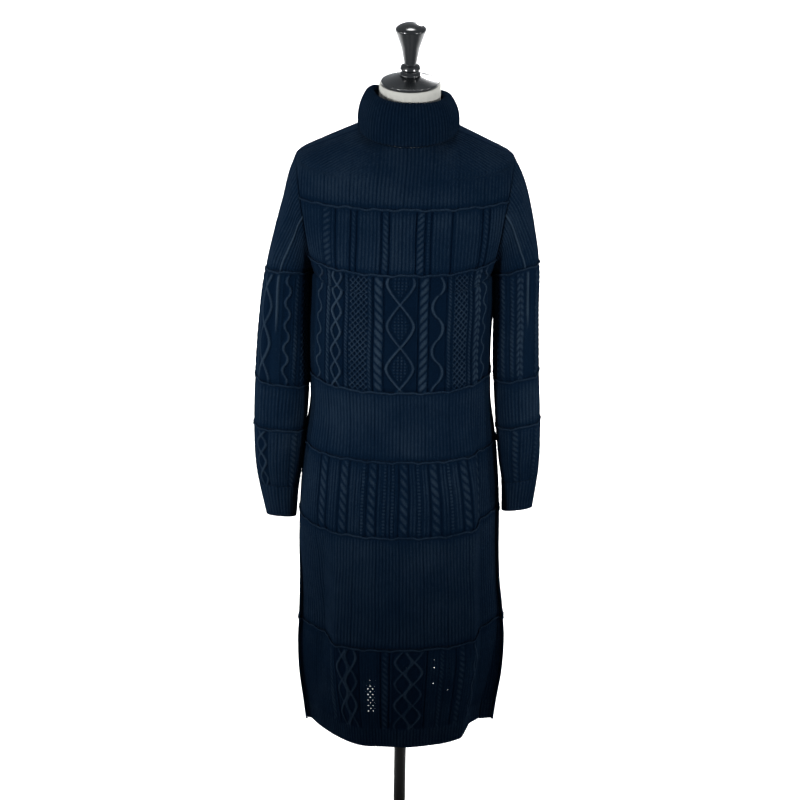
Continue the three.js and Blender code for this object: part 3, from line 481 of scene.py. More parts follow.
@dataclass(frozen=True)
class Ribs:
    """Straight ribs, with every few furrows deeper."""

    pitch: float = 6.2
    lift: float = 1.3
    sharpness: float = 0.55
    deep_every: int = 7
    deep: float = 0.5
    deep_width: float = 0.3

    def height(self, u: Array, v: Array) -> Array:
        """Crests between furrows, the same at every height."""
        phase = u / self.pitch
        crest = np.abs(np.sin(math.pi * phase)) ** self.sharpness
        from_deep = np.abs((phase / self.deep_every + 0.5) % 1 - 0.5) * self.deep_every
        return self.lift * crest - self.deep * np.clip(1 - from_deep / self.deep_width, 0, 1)


@dataclass(frozen=True)
class Motif:
    """What a motif of any kind has: its place across the cloth and half its width."""

    at: float
    half: float
    lift: float = 2.6
    margin: float = 2.2
    furrow: float = -0.5

    def cover(self, u: Array) -> Array:
        """How far its own ground takes the place of what lies round it, from 0 to 1."""
        return smooth((self.half + self.margin - np.abs(u - self.at)) / self.margin)

    def height(self, u: Array, v: Array) -> Array:
        """A plain raised cord."""
        return self.lift * cord((u - self.at) / self.half)


@dataclass(frozen=True)
class Crease(Motif):
    """A pressed crease that fades out downwards."""

    fade_from: float = -60
    fade_over: float = 60

    def height(self, u: Array, v: Array) -> Array:
        """A cord, lower towards its end."""
        return super().height(u, v) * smooth((v - self.fade_from) / self.fade_over)


@dataclass(frozen=True)
class Gutter(Motif):
    """A narrow furrow of purl stitches."""

    half: float = 1.2
    margin: float = 1.0
    furrow: float = -1.3

    def height(self, u: Array, v: Array) -> Array:
        """Nothing that stands out."""
        return 0 * u


@dataclass(frozen=True)
class Rope(Motif):
    """A cable of two strands that wind round each other."""

    pitch: float = 17
    lean: int = 1
    slant: float = 0.5
    bulge: float = 0.8
    least: float = 0.05
    roundness: float = 0.4

    def height(self, u: Array, v: Array) -> Array:
        """Slanting lobes on a round back."""
        x = (u - self.at) / self.half
        lobe = np.abs(np.sin(math.pi * (v / self.pitch + self.slant * self.lean * x))) ** self.bulge
        back = np.clip(1 - x**2, 0, 1) ** self.roundness
        return self.lift * back * (self.least + (1 - self.least) * lobe)


@dataclass(frozen=True)
class Braid(Rope):
    """A flat plait with lobes that meet in its middle."""

    slant: float = 0.6
    bulge: float = 0.7
    least: float = 0.1
    roundness: float = 0.35
    parting: float = 0.5
    parting_width: float = 0.14

    def height(self, u: Array, v: Array) -> Array:
        """Chevrons, parted down the middle."""
        off = np.abs(u - self.at)
        parting = self.parting * np.exp(-((off / self.half / self.parting_width) ** 2))
        return super().height(self.at + off, v) * (1 - parting)


@dataclass(frozen=True)
class Lozenges(Motif):
    """Two travelling lines that cross each other again and again."""

    period: float = 76
    phase: float = 1185
    line: float = 2.9
    over: float = 0.5
    sharpness: float = 0.96
    fullness: float = 0.45

    def sway(self, v: Array) -> Array:
        """How far one line stands from the middle, to the right at first."""
        wave = np.sin(math.pi * (v - self.phase) / self.period)
        straight = np.arcsin(self.sharpness * wave) / math.asin(self.sharpness)
        return (self.half - self.line) * (straight + self.fullness * (wave - straight))

    def height(self, u: Array, v: Array) -> Array:
        """Both lines, the first one over the other."""
        off, sway = u - self.at, self.sway(v)
        first = (self.lift + self.over) * cord((off - sway) / self.line)
        return np.maximum(first, self.lift * cord((off + sway) / self.line))


@dataclass(frozen=True)
class MossLozenges(Lozenges):
    """Lozenges filled with small knots."""

    knot: float = 12.4
    knot_lift: float = 2.1
    knot_ground: float = 0.1
    knot_inset: float = 4.5
    knot_fade: float = 3

    def height(self, u: Array, v: Array) -> Array:
        """The lines, and knots well inside them."""
        inside = np.abs(self.sway(v)) - np.abs(u - self.at) - self.line
        knots = np.sin(2 * math.pi * u / self.knot) * np.sin(2 * math.pi * v / self.knot)
        fill = self.knot_lift * np.clip(np.abs(knots) - self.knot_ground, 0, 1)
        fill = fill * smooth((inside - self.knot_inset) / self.knot_fade)
        return np.maximum(super().height(u, v), fill)


@dataclass(frozen=True)
class Wave(Motif):
    """One travelling line."""

    period: float = 85
    phase: float = 0
    line: float = 2.9
    bend: float = 0.8

    def height(self, u: Array, v: Array) -> Array:
        """A cord that wanders from side to side."""
        wave = power(np.sin(2 * math.pi * (v - self.phase) / self.period), self.bend)
        return self.lift * cord((u - self.at - (self.half - self.line) * wave) / self.line)


@dataclass(frozen=True)
class Honeycomb(Motif):
    """A close net of small crossing lines."""

    cell: float = 9.8
    cell_height: float = 11.6
    ridge: float = 0.3
    edge: float = 1.2

    def height(self, u: Array, v: Array) -> Array:
        """Ridges on the two slants of the net."""
        x = (u - self.at) / self.cell
        y = v / self.cell_height
        slants = [np.abs((d + 0.5) % 1 - 0.5) for d in (x + y, x - y)]
        ridges = smooth(1 - np.minimum(*slants) / self.ridge)
        edge = smooth((self.half - np.abs(u - self.at)) / self.edge)
        return (self.lift * ridges + (1 - ridges) * self.furrow) * edge


@dataclass(frozen=True)
class Ladder(Motif):
    """A narrow column of short bars."""

    pitch: float = 6.4
    bulge: float = 0.8

    def height(self, u: Array, v: Array) -> Array:
        """Bars with gaps between them."""
        x = (u - self.at) / self.half
        bar = np.abs(np.sin(math.pi * v / self.pitch)) ** self.bulge
        return self.lift * bar * np.sqrt(np.clip(1 - x**4, 0, 1))


@dataclass(frozen=True)
class SeamRoll:
    """The rolled edge along the top of a band, which wavers as hand-linked edges do.

    steps has, for each point of its section, the height over the seam line, the distance out of
    the wall, and how far it follows the wavering. The wall ends a gap under it, and tone turns the
    distance out into the lift that paints a highlight on the edge and shade under it.
    """

    steps: tuple[Triple, ...] = (
        (-3.0, 0.3, 0.5), (-2.1, 1.1, 0.8), (-1.2, 2.1, 1), (-0.2, 2.7, 1), (0.8, 2.7, 1),
        (1.6, 2.2, 1), (2.0, 1.4, 1), (1.7, 0.6, 0.8), (0.9, 0.0, 0.4), (0.1, -1.0, 0),
    )
    gap: float = 0.8
    # how much painted highlight the edge gets for its distance out
    tone: float = 0.55
    waver: float = 1.0625
    strays: tuple[Triple, ...] = ((8.3, 0.4, 1), (3.9, 1.9, 0.7), (17, 0.8, 0.5))
    swells: tuple[Triple, ...] = ((2.6, 0.7, 0.16), (6.1, 0, 0.14))

    def rows(self, line: Array, out: Array, up: Array, u: Array) -> Array:
        """The rows of points of the edge.

        Args:
            line: the points of the seam line.
            out: the way out of the cloth at each.
            up: the way up it.
            u: places along the seam.

        Returns:
            The points, by row and column.
        """
        stray, swell = self.waver * waves(u, self.strays), 1 + waves(u, self.swells)
        made = []
        for rise, lift, share in self.steps:
            above = rise + share * stray
            made.append(line + up * above[:, None] + out * (lift * swell)[:, None])
        return np.stack(made)


@dataclass(frozen=True)
class Cloth:
    """A grid of points on a plain surface, with rows from bottom to top.

    points has a row, a column and a coordinate, u and v are the points' places on the cloth, and
    width is the flat width. A round cloth closes on itself after its last column.
    """

    points: Array
    u: Array
    v: Array
    width: float
    round: bool = False

    def directions(self) -> tuple[Array, Array]:
        """The way out of the cloth and the way up it, at each point.

        Returns:
            Two arrays of unit vectors.
        """
        up = np.gradient(self.points, axis=0)
        if self.round:
            wrapped = np.concatenate([self.points[:, -1:], self.points, self.points[:, :1]], axis=1)
            over = np.gradient(wrapped, axis=1)[:, 1:-1]
        else:
            over = np.gradient(self.points, axis=1)
        out = np.cross(over, up)
        unit = [d / np.maximum(np.linalg.norm(d, axis=2, keepdims=True), 1e-9) for d in (out, up)]
        return unit[0], unit[1]

    @property
    def length(self) -> float:
        """The length of the cloth from bottom to top."""
        return float(spacing(self.points).sum(axis=0).mean())


def linked(name: str, data: bpy.types.ID) -> Object:
    """Puts an object with its data into the scene."""
    made = bpy.data.objects.new(name, data)
    bpy.context.scene.collection.objects.link(made)
    return made


def knitted(name: str, points: Array, polygons: list, spots: Array, lifts: Array) -> Object:
    """Makes the mesh object of a knitted piece.

    Args:
        name: the piece.
        points: its points, a row each.
        polygons: its faces, as numbers of points.
        spots: the place on the cloth of each face's corners.
        lifts: how far each point stands out of the plain cloth, from which the yarn's painted shade and
            highlight are read.

    Returns:
        The mesh object.
    """
    mesh = bpy.data.meshes.new(name)
    mesh.from_pydata((points * MM).tolist(), [], polygons)
    mesh.uv_layers.new(name="cloth").data.foreach_set("uv", (spots * MM).ravel())
    layer = mesh.attributes.new(LIFT, "FLOAT", "POINT")
    layer.data.foreach_set("value", lifts.astype(np.float32).ravel())
    mesh.polygons.foreach_set("use_smooth", [True] * len(mesh.polygons))
    return linked(name, mesh)


def corners(low: Array, high: Array) -> Array:
    """What the four corners have of each face between two rows, or blocks of rows."""
    found = [low[..., :-1, :], low[..., 1:, :], high[..., 1:, :], high[..., :-1, :]]
    return np.stack(found, axis=-2).reshape(-1, 4, low.shape[-1])


def wall_corners(outside: Array, inside: Array) -> Array:
    """What the corners have of each face of a wall's two sides and its two level edges."""
    sides = corners(outside[:-1], outside[1:]), corners(inside[:-1], inside[1:])[:, ::-1]
    return np.concatenate([*sides, corners(inside[0], outside[0]), corners(outside[-1], inside[-1])])


def joined(
    name: str,
    outer: Array,
    inner: Array,
    rows: list[int],
    uv: tuple[Array, Array],
    lifts: Array,
    turn: float,
) -> Object:
    """Makes a wall from its outside and its inside.

    Args:
        name: the piece.
        outer: its outer points, by row and column.
        inner: its inner points, with the same columns.
        rows: for each inner row, the outer row that it lies behind.
        uv: the places on the cloth of the outer points.
        lifts: how far those points stand out.
        turn: the flat width of a wall that goes all the way round, or 0 for a panel.

    Returns:
        The mesh object.
    """
    columns = outer.shape[1]
    outer_ids = np.arange(outer.shape[0] * columns).reshape(-1, columns)
    inner_ids = outer_ids.size + np.arange(inner.shape[0] * columns).reshape(-1, columns)
    all_lifts = np.concatenate([lifts.ravel(), np.full(inner_ids.size, INSIDE)])
    places = np.stack(uv, axis=2)
    if turn:
        outer_ids, inner_ids = (np.hstack([ids, ids[:, :1]]) for ids in (outer_ids, inner_ids))
        places = np.concatenate([places, places[:, :1] + np.array([turn, 0])], axis=1)
    inner_places = places[rows]
    polygons = wall_corners(outer_ids[..., None], inner_ids[..., None])[..., 0].tolist()
    spots = [wall_corners(places, inner_places).reshape(-1, 2)]
    if not turn:
        ends = [*rows[:-1], outer.shape[0] - 1]
        for column, flip in ((0, False), (columns - 1, True)):
            for k in range(len(rows) - 1):
                run = [*range(ends[k], ends[k + 1] + 1)]
                loop = [*outer_ids[run, column], inner_ids[k + 1, column], inner_ids[k, column]]
                where = [*places[run, column], inner_places[k + 1, column], inner_places[k, column]]
                polygons.append([int(i) for i in (loop[::-1] if flip else loop)])
                spots.append(np.array(where[::-1] if flip else where))
    points = np.concatenate([outer.reshape(-1, 3), inner.reshape(-1, 3)])
    return knitted(name, points, polygons, np.concatenate(spots), all_lifts)


def relief(ground: Knit, motifs: tuple[Motif, ...], u: Array, v: Array) -> Array:
    """The height of a band's knitting over its wall.

    Args:
        ground: what lies between the motifs.
        motifs: the cables and other figures.
        u: places across the cloth.
        v: places up it.

    Returns:
        A height at each place.
    """
    total = ground.height(u, v)
    for motif in motifs:
        cover = motif.cover(u)
        total = total * (1 - cover) + motif.furrow * cover
    for motif in motifs:
        raised = motif.height(u, v)
        total = np.where(raised > JUST_RAISED, np.maximum(total, raised), total)
    return total


@dataclass(frozen=True)
class Band:
    """One knitted stretch of the body or a sleeve, between two seams."""

    name: str
    low: float
    high: float
    row_step: float
    ground: Knit
    motifs: tuple[Motif, ...] = ()
    rolled: bool = True
    open_end: bool = False
    pitch: float = 6.2
    seam_pull: float = 1.3
    seam_reach: float = 7.0
    roll_reach: float = 9.0
    fade: float = 4.0
    stray: float = 0.5
    plain_foot: float = 0

    def heights(self, cloth: Cloth) -> Array:
        """How far the cloth stands out of its plain surface, drawn in along its seams.

        Args:
            cloth: the plain surface.

        Returns:
            A height at each point.
        """
        drift = self.stray * (np.sin(cloth.v / 23 + cloth.u / 31) + np.sin(cloth.v / 57 + 1.3))
        total = relief(self.ground, self.motifs, cloth.u + drift, cloth.v)
        if self.plain_foot:
            plain = smooth((self.low + self.plain_foot - cloth.v) / self.fade)
            total = total * (1 - plain) + Ribs().height(cloth.u, cloth.v) * plain
        down = np.linalg.norm(cloth.points - cloth.points[:1], axis=2)
        up = np.linalg.norm(cloth.points[-1:] - cloth.points, axis=2)
        if not self.open_end:
            total = total - self.seam_pull * np.exp(-((down / self.seam_reach) ** 2))
        if self.rolled:
            pull = 0.5 * self.seam_pull * np.exp(-((up / self.roll_reach) ** 2))
            total = total * smooth(up / self.fade) - pull
        return total

    def wall(self, name: str, cloth: Cloth, inner_rows: int) -> Object:
        """Builds the wall of this band.

        Args:
            name: the piece.
            cloth: the plain surface that it lies on.
            inner_rows: how many rows its plain inside has.

        Returns:
            The mesh object.
        """
        out, up = cloth.directions()
        heights = self.heights(cloth)
        if not cloth.round:
            column = np.arange(heights.shape[1])
            heights = heights * smooth(np.minimum(column, column[::-1]) / PLAIN_COLUMNS)
        outer = cloth.points + out * heights[..., None]
        u, v = cloth.u, cloth.v
        kept = outer.shape[0] - 1
        if self.rolled:
            roll = SeamRoll()
            down = np.linalg.norm(cloth.points[-1:] - cloth.points, axis=2).min(axis=1)
            rises, lifts = np.array(roll.steps).T[:2, :, None]
            kept = int(np.nonzero(down > roll.gap - rises[0])[0][-1]) + 1
            edge = roll.rows(cloth.points[-1], out[-1], up[-1], u[-1])
            outer = np.concatenate([outer[:kept], edge])
            # The edge's lift is its distance out times tone, only for its painted highlight and shade
            heights = np.concatenate([heights[:kept], lifts * roll.tone + 0 * u[-1:]])
            u = np.concatenate([u[:kept], np.repeat(u[-1:], len(edge), axis=0)])
            v = np.concatenate([v[:kept], v[-1:] + rises])
        behind = np.linspace(0, kept - 1, inner_rows - 1).round().astype(int).tolist()
        plain = [*behind, cloth.points.shape[0] - 1]
        inner = cloth.points[plain] - out[plain] * WALL
        rows = [*behind, outer.shape[0] - 1]
        return joined(name, outer, inner, rows, (u, v), heights, cloth.width if cloth.round else 0)


def edge_steps(low: float, high: float, step: float) -> Array:
    """Evenly spaced values from one to another, about a step apart."""
    return np.linspace(low, high, max(int(round((high - low) / step)), 1) + 1)


def rib_shares(count: int) -> Array:
    """Shares from 0 to 1 at which a number of ribs have their columns of points, the end left out."""
    return (np.arange(count)[:, None] + np.array(RIB_PHASES)).ravel() / count


@dataclass(frozen=True)
class BodyPanel:
    """The front or back of one band of the body."""

    band: Band
    face: Face
    column_step: float = 0.0
    upright: bool = False
    inner_rows: int = 9

    def cloth(self) -> Cloth:
        """Lays the panel on the body's surface.

        Returns:
            The grid of points, with places from the panel's middle.
        """
        shape = BodyShape()
        coarser = 1 if self.face is Face.FRONT else BACK_COARSER
        sides = edge_steps(self.band.low, self.band.high, self.band.row_step * coarser)
        half = shape.row(self.face, np.array([0.0]), (sides[0] + sides[-1]) / 2)[1]
        count = 2 * int(round(half / self.band.pitch))
        shares = np.append(rib_shares(count), 1) * 2 - 1
        if self.column_step:
            shares = edge_steps(-1, 1, self.column_step * coarser / half)
        made = [shape.row(self.face, shares, side) for side in sides]
        points = np.stack([row for row, _ in made])
        u = np.tile(shares * count / 2 * self.band.pitch, (len(sides), 1))
        v = np.tile(sides[:, None], (1, len(shares)))
        if self.upright:
            u = np.stack([shares * length for _, length in made])
            v = self.band.low + np.concatenate([0 * u[:1], np.cumsum(spacing(points), axis=0)])
        if self.face is Face.BACK:
            points, u, v = points[:, ::-1], -u[:, ::-1], v[:, ::-1]
        return Cloth(points, u, v, 2 * half)

    def build(self) -> tuple[Object, Cloth]:
        """Builds the panel's wall, and gives its cloth with it."""
        cloth = self.cloth()
        return self.band.wall(f"{KNIT}{self.band.name}_{self.face.value}", cloth, self.inner_rows), cloth


@dataclass(frozen=True)
class SleeveTube:
    """One band of a sleeve."""

    band: Band
    hand: Hand
    column_step: float = 0.0
    inner_rows: int = 7

    def cloth(self) -> Cloth:
        """Lays the tube on the sleeve's surface.

        Returns:
            The grid of points, with places from the middle of the sleeve's front.
        """
        shape = SleeveShape(self.hand)
        middle = shape.row(np.array([0.0]), (self.band.low + self.band.high) / 2)[1]
        ahead = np.array([math.pi / 2])
        ends = [shape.points(ahead, reach)[0] for reach in (self.band.high, self.band.low)]
        rows = max(int(round(float(spacing(np.stack(ends))[0]) / self.band.row_step)), 2)
        reaches = np.linspace(self.band.high, self.band.low, rows + 1)
        count = int(round(middle / self.band.pitch))
        shares = rib_shares(count)
        if self.column_step:
            shares = edge_steps(0, 1, self.column_step / middle)[:-1]
        turned = shares if self.hand is Hand.LEFT else (1 - shares) % 1
        points = np.stack([shape.row(turned, reach)[0] for reach in reaches])
        front = 0.5 + 0.25 * self.hand.sign
        width = count * self.band.pitch
        u = np.tile((shares - front) * width, (len(reaches), 1))
        v = np.tile(travelled(spacing(points).mean(axis=1))[:, None], (1, len(shares)))
        return Cloth(points, u, v, width, round=True)

    def build(self) -> tuple[Object, Cloth]:
        """Builds the tube's wall, and gives its cloth with it."""
        cloth, name = self.cloth(), f"{KNIT}sleeve_{self.band.name}_{self.hand.value}"
        return self.band.wall(name, cloth, self.inner_rows), cloth


@dataclass(frozen=True)
class NeckFold:
    """The neck, knitted long and folded down over itself.

    section is its outline from the neck seam up, over the fold, down the outside and back up
    under it: the distance from the neck seam, the share of the way up to the crest, and whether
    that share counts from the foot of the turned-down outside. It is ribbed from the first to the
    last row that ribbed names, and near_side and probe are shares of the way across the body.
    """

    section: tuple[tuple[float, float, bool], ...] = (
        (-2.6, 0, False), (-6, 0.45, False), (-9, 0.9, False), (-7.5, 0.985, False),
        (-4, 1, False), (3, 0.955, False), (9, 0.84, True), (15.5, 0.63, True),
        (19, 0.42, True), (20, 0.2, True), (19.5, 0.03, True), (18, -0.01, True),
        (15.6, 0.02, True), (14.4, 0.4, True), (6, 0.76, False), (-1, 0.88, False),
        (-2.6, 0.45, False), (0, 0, False),
    )
    crest: tuple[float, float, float, float] = (1527, 1522, 1508, 1533)
    foot: tuple[float, float, float, float] = (1460, 1464, 1448, 1464)
    clearance: float = 3
    reach: float = 19.5
    flat: tuple[float, float] = (480, 140)
    pitch: float = 5.7
    fullness: float = 1.12
    lift: float = 1.5
    sunk: float = 0.25
    sharpness: float = 0.55
    start: float = 0.4
    ribbed: tuple[int, int] = (1, 12)
    rows_per_step: int = 2
    near_side: float = 0.995
    probe: float = 0.004
    probe_down: float = 1.5

    @staticmethod
    def roundly(values: tuple[float, float, float, float], turn: Array) -> Array:
        """A value that goes smoothly round from front over right, back and left."""
        front, right, back, left = values
        c, s = np.cos(turn), np.sin(turn)
        return np.where(c > 0, front, back) * c * c + np.where(s > 0, right, left) * s * s

    def rests(self, face: Face, across: Array, seam: Array) -> Array:
        """The height of the yoke under the turned-down edge, at each place across."""
        shape = BodyShape()
        sides = np.arange(NECK, SHOULDER, -1.0)
        rings = np.stack([shape.points(face, across, side) for side in sides])
        off = np.hypot(*(rings - seam)[..., :2].transpose(2, 0, 1))
        beyond = off >= self.reach - 2 * WALL
        first = np.where(beyond.any(axis=0), beyond.argmax(axis=0), len(sides) - 1)
        return rings[first, np.arange(len(across)), 2]

    def build(self) -> Object:
        """Carries the section round the neck seam."""
        shape = BodyShape()
        seams, outs, turns, rests = [], [], [], []
        for face in Face:
            half = shape.row(face, np.array([0.0]), NECK)[1]
            count = int(round(2 * half / self.pitch * self.fullness))
            across = (1 - 2 * rib_shares(count)) * face.outward
            seams.append(shape.row(face, across, NECK)[0])
            spread = np.clip(across, -self.near_side, self.near_side)
            left, seam, right = (
                shape.points(face, spread + off, NECK) for off in (-self.probe, 0, self.probe)
            )
            up = seam - shape.points(face, spread, NECK - self.probe_down)
            out = np.cross(up, right - left) * face.outward
            out[:, 2] = 0
            outs.append(out / np.linalg.norm(out, axis=1, keepdims=True))
            turn = across * math.pi / 2
            turns.append(turn if face is Face.FRONT else math.pi - turn)
            rests.append(self.rests(face, across, seam) + self.clearance)
        seam, out, turn, rest = (np.concatenate(parts) for parts in (seams, outs, turns, rests))
        foot, crest = np.maximum(self.roundly(self.foot, turn), rest), self.roundly(self.crest, turn)
        away, rise, from_foot, rib = self.fine_section()[..., None]
        low = np.where(from_foot > 0.5, foot, seam[:, 2] + self.start)
        rib_crests = np.sin(math.pi * np.array(RIB_PHASES)) ** self.sharpness
        crests = np.tile(rib_crests, len(turn) // len(RIB_PHASES))
        lift = self.lift * (crests - self.sunk) * smooth(rib * 2 - 0.4)
        points = seam + out * (away + 0 * lift)[..., None]
        points[..., 2] = low + (crest - low) * rise
        along = np.gradient(np.concatenate([points[-1:], points, points[:1]]), axis=0)[1:-1]
        wrapped = np.concatenate([points[:, -1:], points, points[:, :1]], axis=1)
        normal = np.cross(along, np.gradient(wrapped, axis=1)[:, 1:-1])
        points = points + normal / np.linalg.norm(normal, axis=2, keepdims=True) * lift[..., None]
        u = np.arange(len(turn)) * self.pitch / len(RIB_PHASES)
        return self.mesh(points, u, travelled(spacing(points).mean(axis=1)), lift)

    def fine_section(self) -> Array:
        """The section with more steps, smooth along its length.

        Returns:
            The distance, the share, whether from the foot, and how ribbed, a column a step.
        """
        first, last = self.ribbed
        rows = [(i, *row, first <= i <= last) for i, row in enumerate(self.section)]
        names = ("out", "rise", "foot", "rib")
        curve = SmoothTable(("key", *names), rows)
        fine = np.linspace(0, len(rows) - 1, (len(rows) - 1) * self.rows_per_step + 1)
        return np.stack([curve.at(name, fine) for name in names])

    def mesh(self, points: Array, u: Array, v: Array, lifts: Array) -> Object:
        """Makes the closed ring.

        Args:
            points: by row and column.
            u: each column's place round the neck.
            v: each row's place along the section.
            lifts: how far the points stand out.

        Returns:
            The mesh object.
        """
        rows, columns = points.shape[:2]
        r, c = np.meshgrid(np.arange(rows), np.arange(columns), indexing="ij")
        r1, c1 = (r + 1) % rows, (c + 1) % columns
        faces = np.stack([r * columns + c, r * columns + c1, r1 * columns + c1, r1 * columns + c], axis=-1)
        du, dv = u[1] - u[0], v[1] - v[0]
        us = np.stack([u[c], u[c] + du, u[c] + du, u[c]], axis=-1)
        vs = np.stack([v[r], v[r], v[r] + dv, v[r] + dv], axis=-1)
        spots = np.stack([us, vs], axis=-1).reshape(-1, 4, 2)[:, ::-1]
        polygons = faces.reshape(-1, 4)[:, ::-1].tolist()
        return knitted(f"{KNIT}neck_fold", points.reshape(-1, 3), polygons, spots, lifts)


class Graph:
    """Adds nodes to a tree and joins them."""

    def __init__(self, tree: bpy.types.NodeTree) -> None:
        """Keeps the tree."""
        self.tree = tree

    @classmethod
    def group(cls, name: str, inputs: dict[str, str], output: str) -> tuple["Graph", dict[str, Socket]]:
        """Begins a group of nodes.

        Args:
            name: the group.
            inputs: the kind of each of its inputs.
            output: its one output, a number.

        Returns:
            The group's graph, and the sockets of its inputs by name.
        """
        tree = bpy.data.node_groups.new(name, "ShaderNodeTree")
        for key, kind in inputs.items():
            tree.interface.new_socket(key, in_out="INPUT", socket_type=f"NodeSocket{kind}")
        tree.interface.new_socket(output, in_out="OUTPUT", socket_type="NodeSocketFloat")
        graph = cls(tree)
        return graph, {given.name: given for given in graph.add("NodeGroupInput").outputs}

    def add(self, kind: str, **settings: object) -> bpy.types.Node:
        """Adds a node.

        Args:
            kind: its type.
            settings: its properties by name, and its inputs as put takes them.

        Returns:
            The node.
        """
        node = self.tree.nodes.new(kind)
        inputs = {name: value for name, value in settings.items() if not hasattr(node, name)}
        for name, value in settings.items():
            if name not in inputs:
                setattr(node, name, value)
        return self.put(node, **inputs)

    def put(self, node: bpy.types.Node, **inputs: object) -> bpy.types.Node:
        """Sets a node's inputs from values or other sockets.

        Args:
            node: the node.
            inputs: a value each, by the input's name with _ for spaces, or by i and its number.

        Returns:
            The node.
        """
        for name, value in inputs.items():
            key = int(name[1:]) if name[1:].isdigit() else name.replace("_", " ")
            if isinstance(value, Socket):
                self.tree.links.new(value, node.inputs[key])
            else:
                node.inputs[key].default_value = value
        return node

    def math(self, operation: str, *values: object) -> Socket:
        """Adds a sum of numbers or sockets and gives its result."""
        inputs = {f"i{i}": value for i, value in enumerate(values)}
        return self.add("ShaderNodeMath", operation=operation, **inputs).outputs[0]

    def axes(self, place: Socket) -> list[Socket]:
        """Takes a place apart into its coordinates."""
        return list(self.add("ShaderNodeSeparateXYZ", i0=place).outputs)

    def noise(self, place: Socket, scale: float, detail: float) -> Socket:
        """Adds noise over a place, from about 0 to 1."""
        return self.add("ShaderNodeTexNoise", Vector=place, Scale=scale, Detail=detail).outputs[0]

    def object_place(self) -> Socket:
        """The place on the object."""
        return self.add("ShaderNodeTexCoord").outputs["Object"]


@cache
def knit_group() -> bpy.types.NodeTree:
    """The height of plain stitches, from places on the cloth in metres."""
    graph, given = Graph.group("knit stitches", {"Place": "Vector", "Width": "Float"}, "Height")
    place = graph.axes(given["Place"])
    wale, course = (graph.math("DIVIDE", place[k], given["Width"]) for k in (0, 1))
    off = graph.math("ABSOLUTE", graph.math("SUBTRACT", graph.math("FRACT", wale), 0.5))
    slant = graph.math("ADD", graph.math("MULTIPLY", course, 1.3), graph.math("MULTIPLY", off, -1.6))
    loop = graph.math("ABSOLUTE", graph.math("SINE", graph.math("MULTIPLY", slant, math.pi)))
    beside = graph.math("ABSOLUTE", graph.math("SUBTRACT", graph.math("MULTIPLY", off, 4.0), 1.0))
    leg = graph.math("POWER", graph.math("SUBTRACT", 1.0, beside), 0.5)
    graph.add("NodeGroupOutput", Height=graph.math("MULTIPLY", graph.math("POWER", loop, 0.6), leg))
    return graph.tree


@cache
def tone_group() -> bpy.types.NodeTree:
    """How light the yarn is at each place, from 0 to 1, out of soft clouds and single fibres."""
    graph, given = Graph.group("wool tone", {"Place": "Vector"}, "Tone")
    clouds = graph.math("MULTIPLY", graph.noise(given["Place"], 14.0, 3.0), 0.45)
    fibres = graph.math("MULTIPLY", graph.noise(given["Place"], 420.0, 2.0), 0.55)
    graph.add("NodeGroupOutput", Tone=graph.math("ADD", clouds, fibres))
    return graph.tree


@cache
def eyelet_group() -> bpy.types.NodeTree:
    """Where a window of the cloth is open, 1 in each small hole and 0 between them."""
    vectors = ("Place", "Middle", "Half", "Pitch")
    graph, given = Graph.group("eyelets", {**dict.fromkeys(vectors, "Vector"), "Radius": "Float"}, "Open")
    place, middle, half, pitch = (graph.axes(given[name]) for name in vectors)
    off = [graph.math("SUBTRACT", place[k], middle[k]) for k in (0, 1)]
    inside = [graph.math("LESS_THAN", graph.math("ABSOLUTE", off[k]), half[k]) for k in (0, 1)]
    holes = []
    for shift in (0.5, 1.0):
        squares = []
        for k in (0, 1):
            cell = graph.math("ADD", graph.math("DIVIDE", off[k], pitch[k]), shift)
            near = graph.math("MULTIPLY", graph.math("SUBTRACT", graph.math("FRACT", cell), 0.5), pitch[k])
            squares.append(graph.math("MULTIPLY", near, near))
        away = graph.math("SQRT", graph.math("ADD", *squares))
        holes.append(graph.math("LESS_THAN", away, given["Radius"]))
    window = graph.math("MULTIPLY", *inside)
    graph.add("NodeGroupOutput", Open=graph.math("MULTIPLY", window, graph.math("MAXIMUM", *holes)))
    return graph.tree


@dataclass(frozen=True)
class Eyelets:
    """A window of small holes in two staggered sets, in millimetres on the cloth.

    The holes are wider in the inside of the wall, by a share of its thickness.
    """

    middle: tuple[float, float]
    half: tuple[float, float]
    pitch: tuple[float, float] = (11.0, 11.6)
    radius: float = 1.5
    widening: float = 0.6

    def mask(self, graph: Graph, place: Socket) -> Socket:
        """Adds the window to a material.

        Args:
            graph: the material's graph.
            place: the place on the cloth.

        Returns:
            1 in a hole and 0 elsewhere.
        """
        sizes = {"Middle": self.middle, "Half": self.half, "Pitch": self.pitch}
        within = graph.add("ShaderNodeAttribute", attribute_name=LIFT).outputs["Fac"]
        inner = graph.math("LESS_THAN", within, INSIDE + 0.02)
        wider = graph.math("MULTIPLY", inner, WALL * self.widening * MM)
        return graph.add(
            "ShaderNodeGroup",
            node_tree=eyelet_group(),
            Place=place,
            Radius=graph.math("ADD", self.radius * MM, wider),
            **{name: (across * MM, up * MM, 0) for name, (across, up) in sizes.items()},
        ).outputs[0]


@dataclass(frozen=True)
class Finish:
    """What every finish is made with."""

    name: str

    def begin(self) -> tuple[bpy.types.Material, Graph, bpy.types.Node]:
        """Makes a new material.

        Returns:
            The material, its graph and its Principled node.
        """
        material = bpy.data.materials.new(self.name)
        material.use_nodes = True
        graph = Graph(material.node_tree)
        return material, graph, material.node_tree.nodes["Principled BSDF"]


